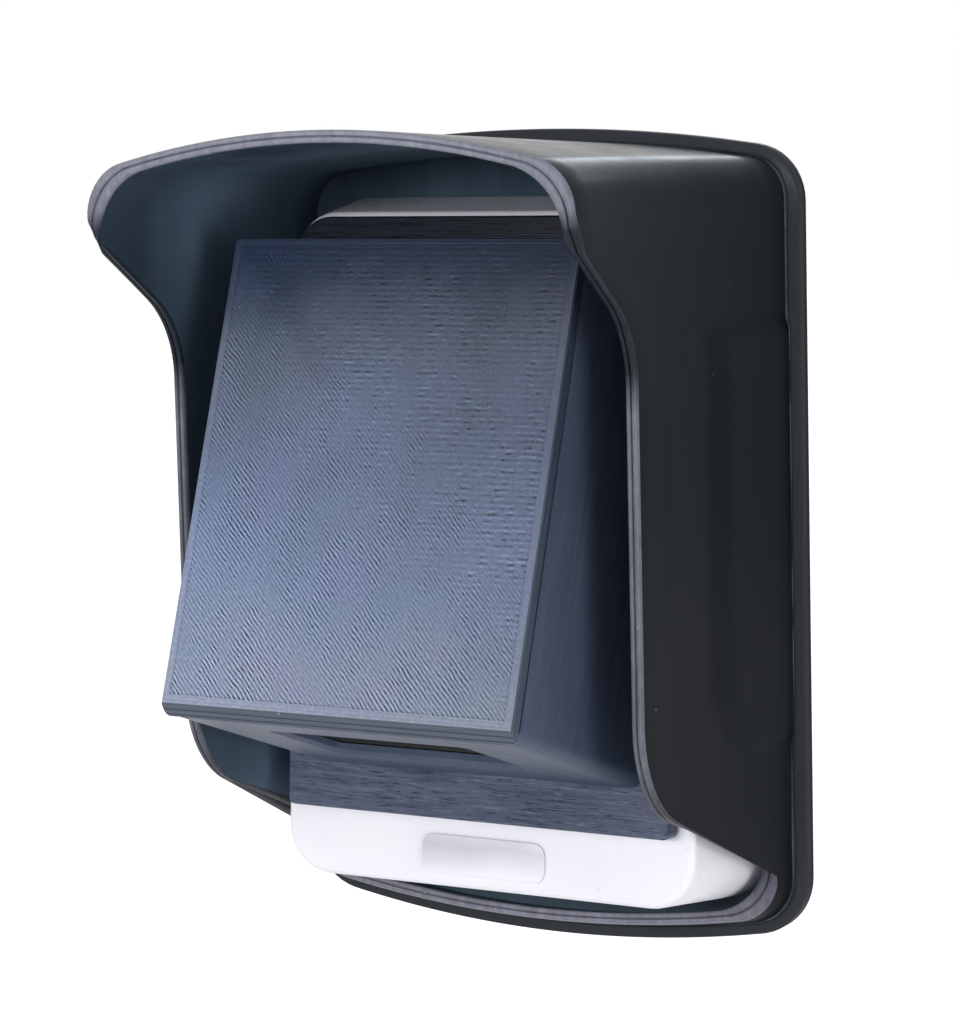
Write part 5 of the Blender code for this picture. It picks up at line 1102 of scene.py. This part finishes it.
def dress_solids(replaced):
    """Give every piece kept from the solids the material of its slot in the record, and the lens its own."""
    looks = {
        "white_plastic": moulded("socket_white", (0.82, 0.82, 0.80), 0.4, 0.45, 0.05, 1200),
        "pale_grey": moulded("base_grey", (0.60, 0.61, 0.63), 0.45, 0.4, 0.08, 1500),
        "black_rubber": moulded("rubber", (0.020, 0.020, 0.021), 0.7, 0.3, 0.2, 1800, 0.00004,
                                (0.12, 0.12, 0.12)),
        "foam": moulded("closed_foam", (0.030, 0.030, 0.031), 0.9, 0.15, 0.25, 2600, 0.0001,
                        (0.10, 0.10, 0.10)),
        "steel": metal("plated_steel", (0.55, 0.56, 0.58), 0.3),
        "brass": metal("plain_brass", (0.72, 0.53, 0.24), 0.28),
        "board_green": circuit_board(),
        "chip_black": moulded("chip_black", (0.018, 0.018, 0.020), 0.55, 0.4, 0.15, 2600),
        "clear_pane": window_pane(),
        "lamp_white": moulded("lamp_plastic", (0.84, 0.84, 0.78), 0.22, 0.5, 0.05, 1100),
        "terminal_green": moulded("terminal_green", (0.04, 0.27, 0.10), 0.4, 0.45, 0.12, 1400),
        "copper_board": copper_turns(),
        "ribbon": flexible_circuit(),
    }
    lens = lens_glass()
    for part in frame["record"]["subparts"]:
        if part["node"] not in replaced:
            for slot in frame["nodes"][part["node"]].material_slots:
                slot.material = lens if part["node"] == "lens" else looks[part["material_slot"]]


def make_all():
    """Build the scene."""
    bpy.context.scene.view_settings.view_transform = "Standard"
    make_camera()
    make_world()
    make_floor()
    for lamp in LAMPS:
        make_lamp(*lamp)
    make_hood((hood_outside(), hood_rim(), hood_inside()))
    make_front_shell(white_plastic())
    make_plaque(plaque_grey())
    # The last numbers of each print give its painted light and shade: axis, start, end and tone at the end
    make_plate(print_layers("print_plate", LEAN, 2, (0.022, 0.032, 0.056), (0.122, 0.140, 0.196), 0.75,
                            (2, 0.0, 0.07, 0.25)))
    side = print_layers("print_side", WEDGE_FRAME, 1, (0.036, 0.051, 0.080), (0.072, 0.094, 0.144), 0.15,
                        (1, 0.0, 0.05, 1.1))
    make_wedge(side, print_face(), cover_edge())
    dress_solids(("rain_hood", "front_shell", "chin_plaque", "adapter_plate", "wedge_housing", "front_cover"))


make_all()
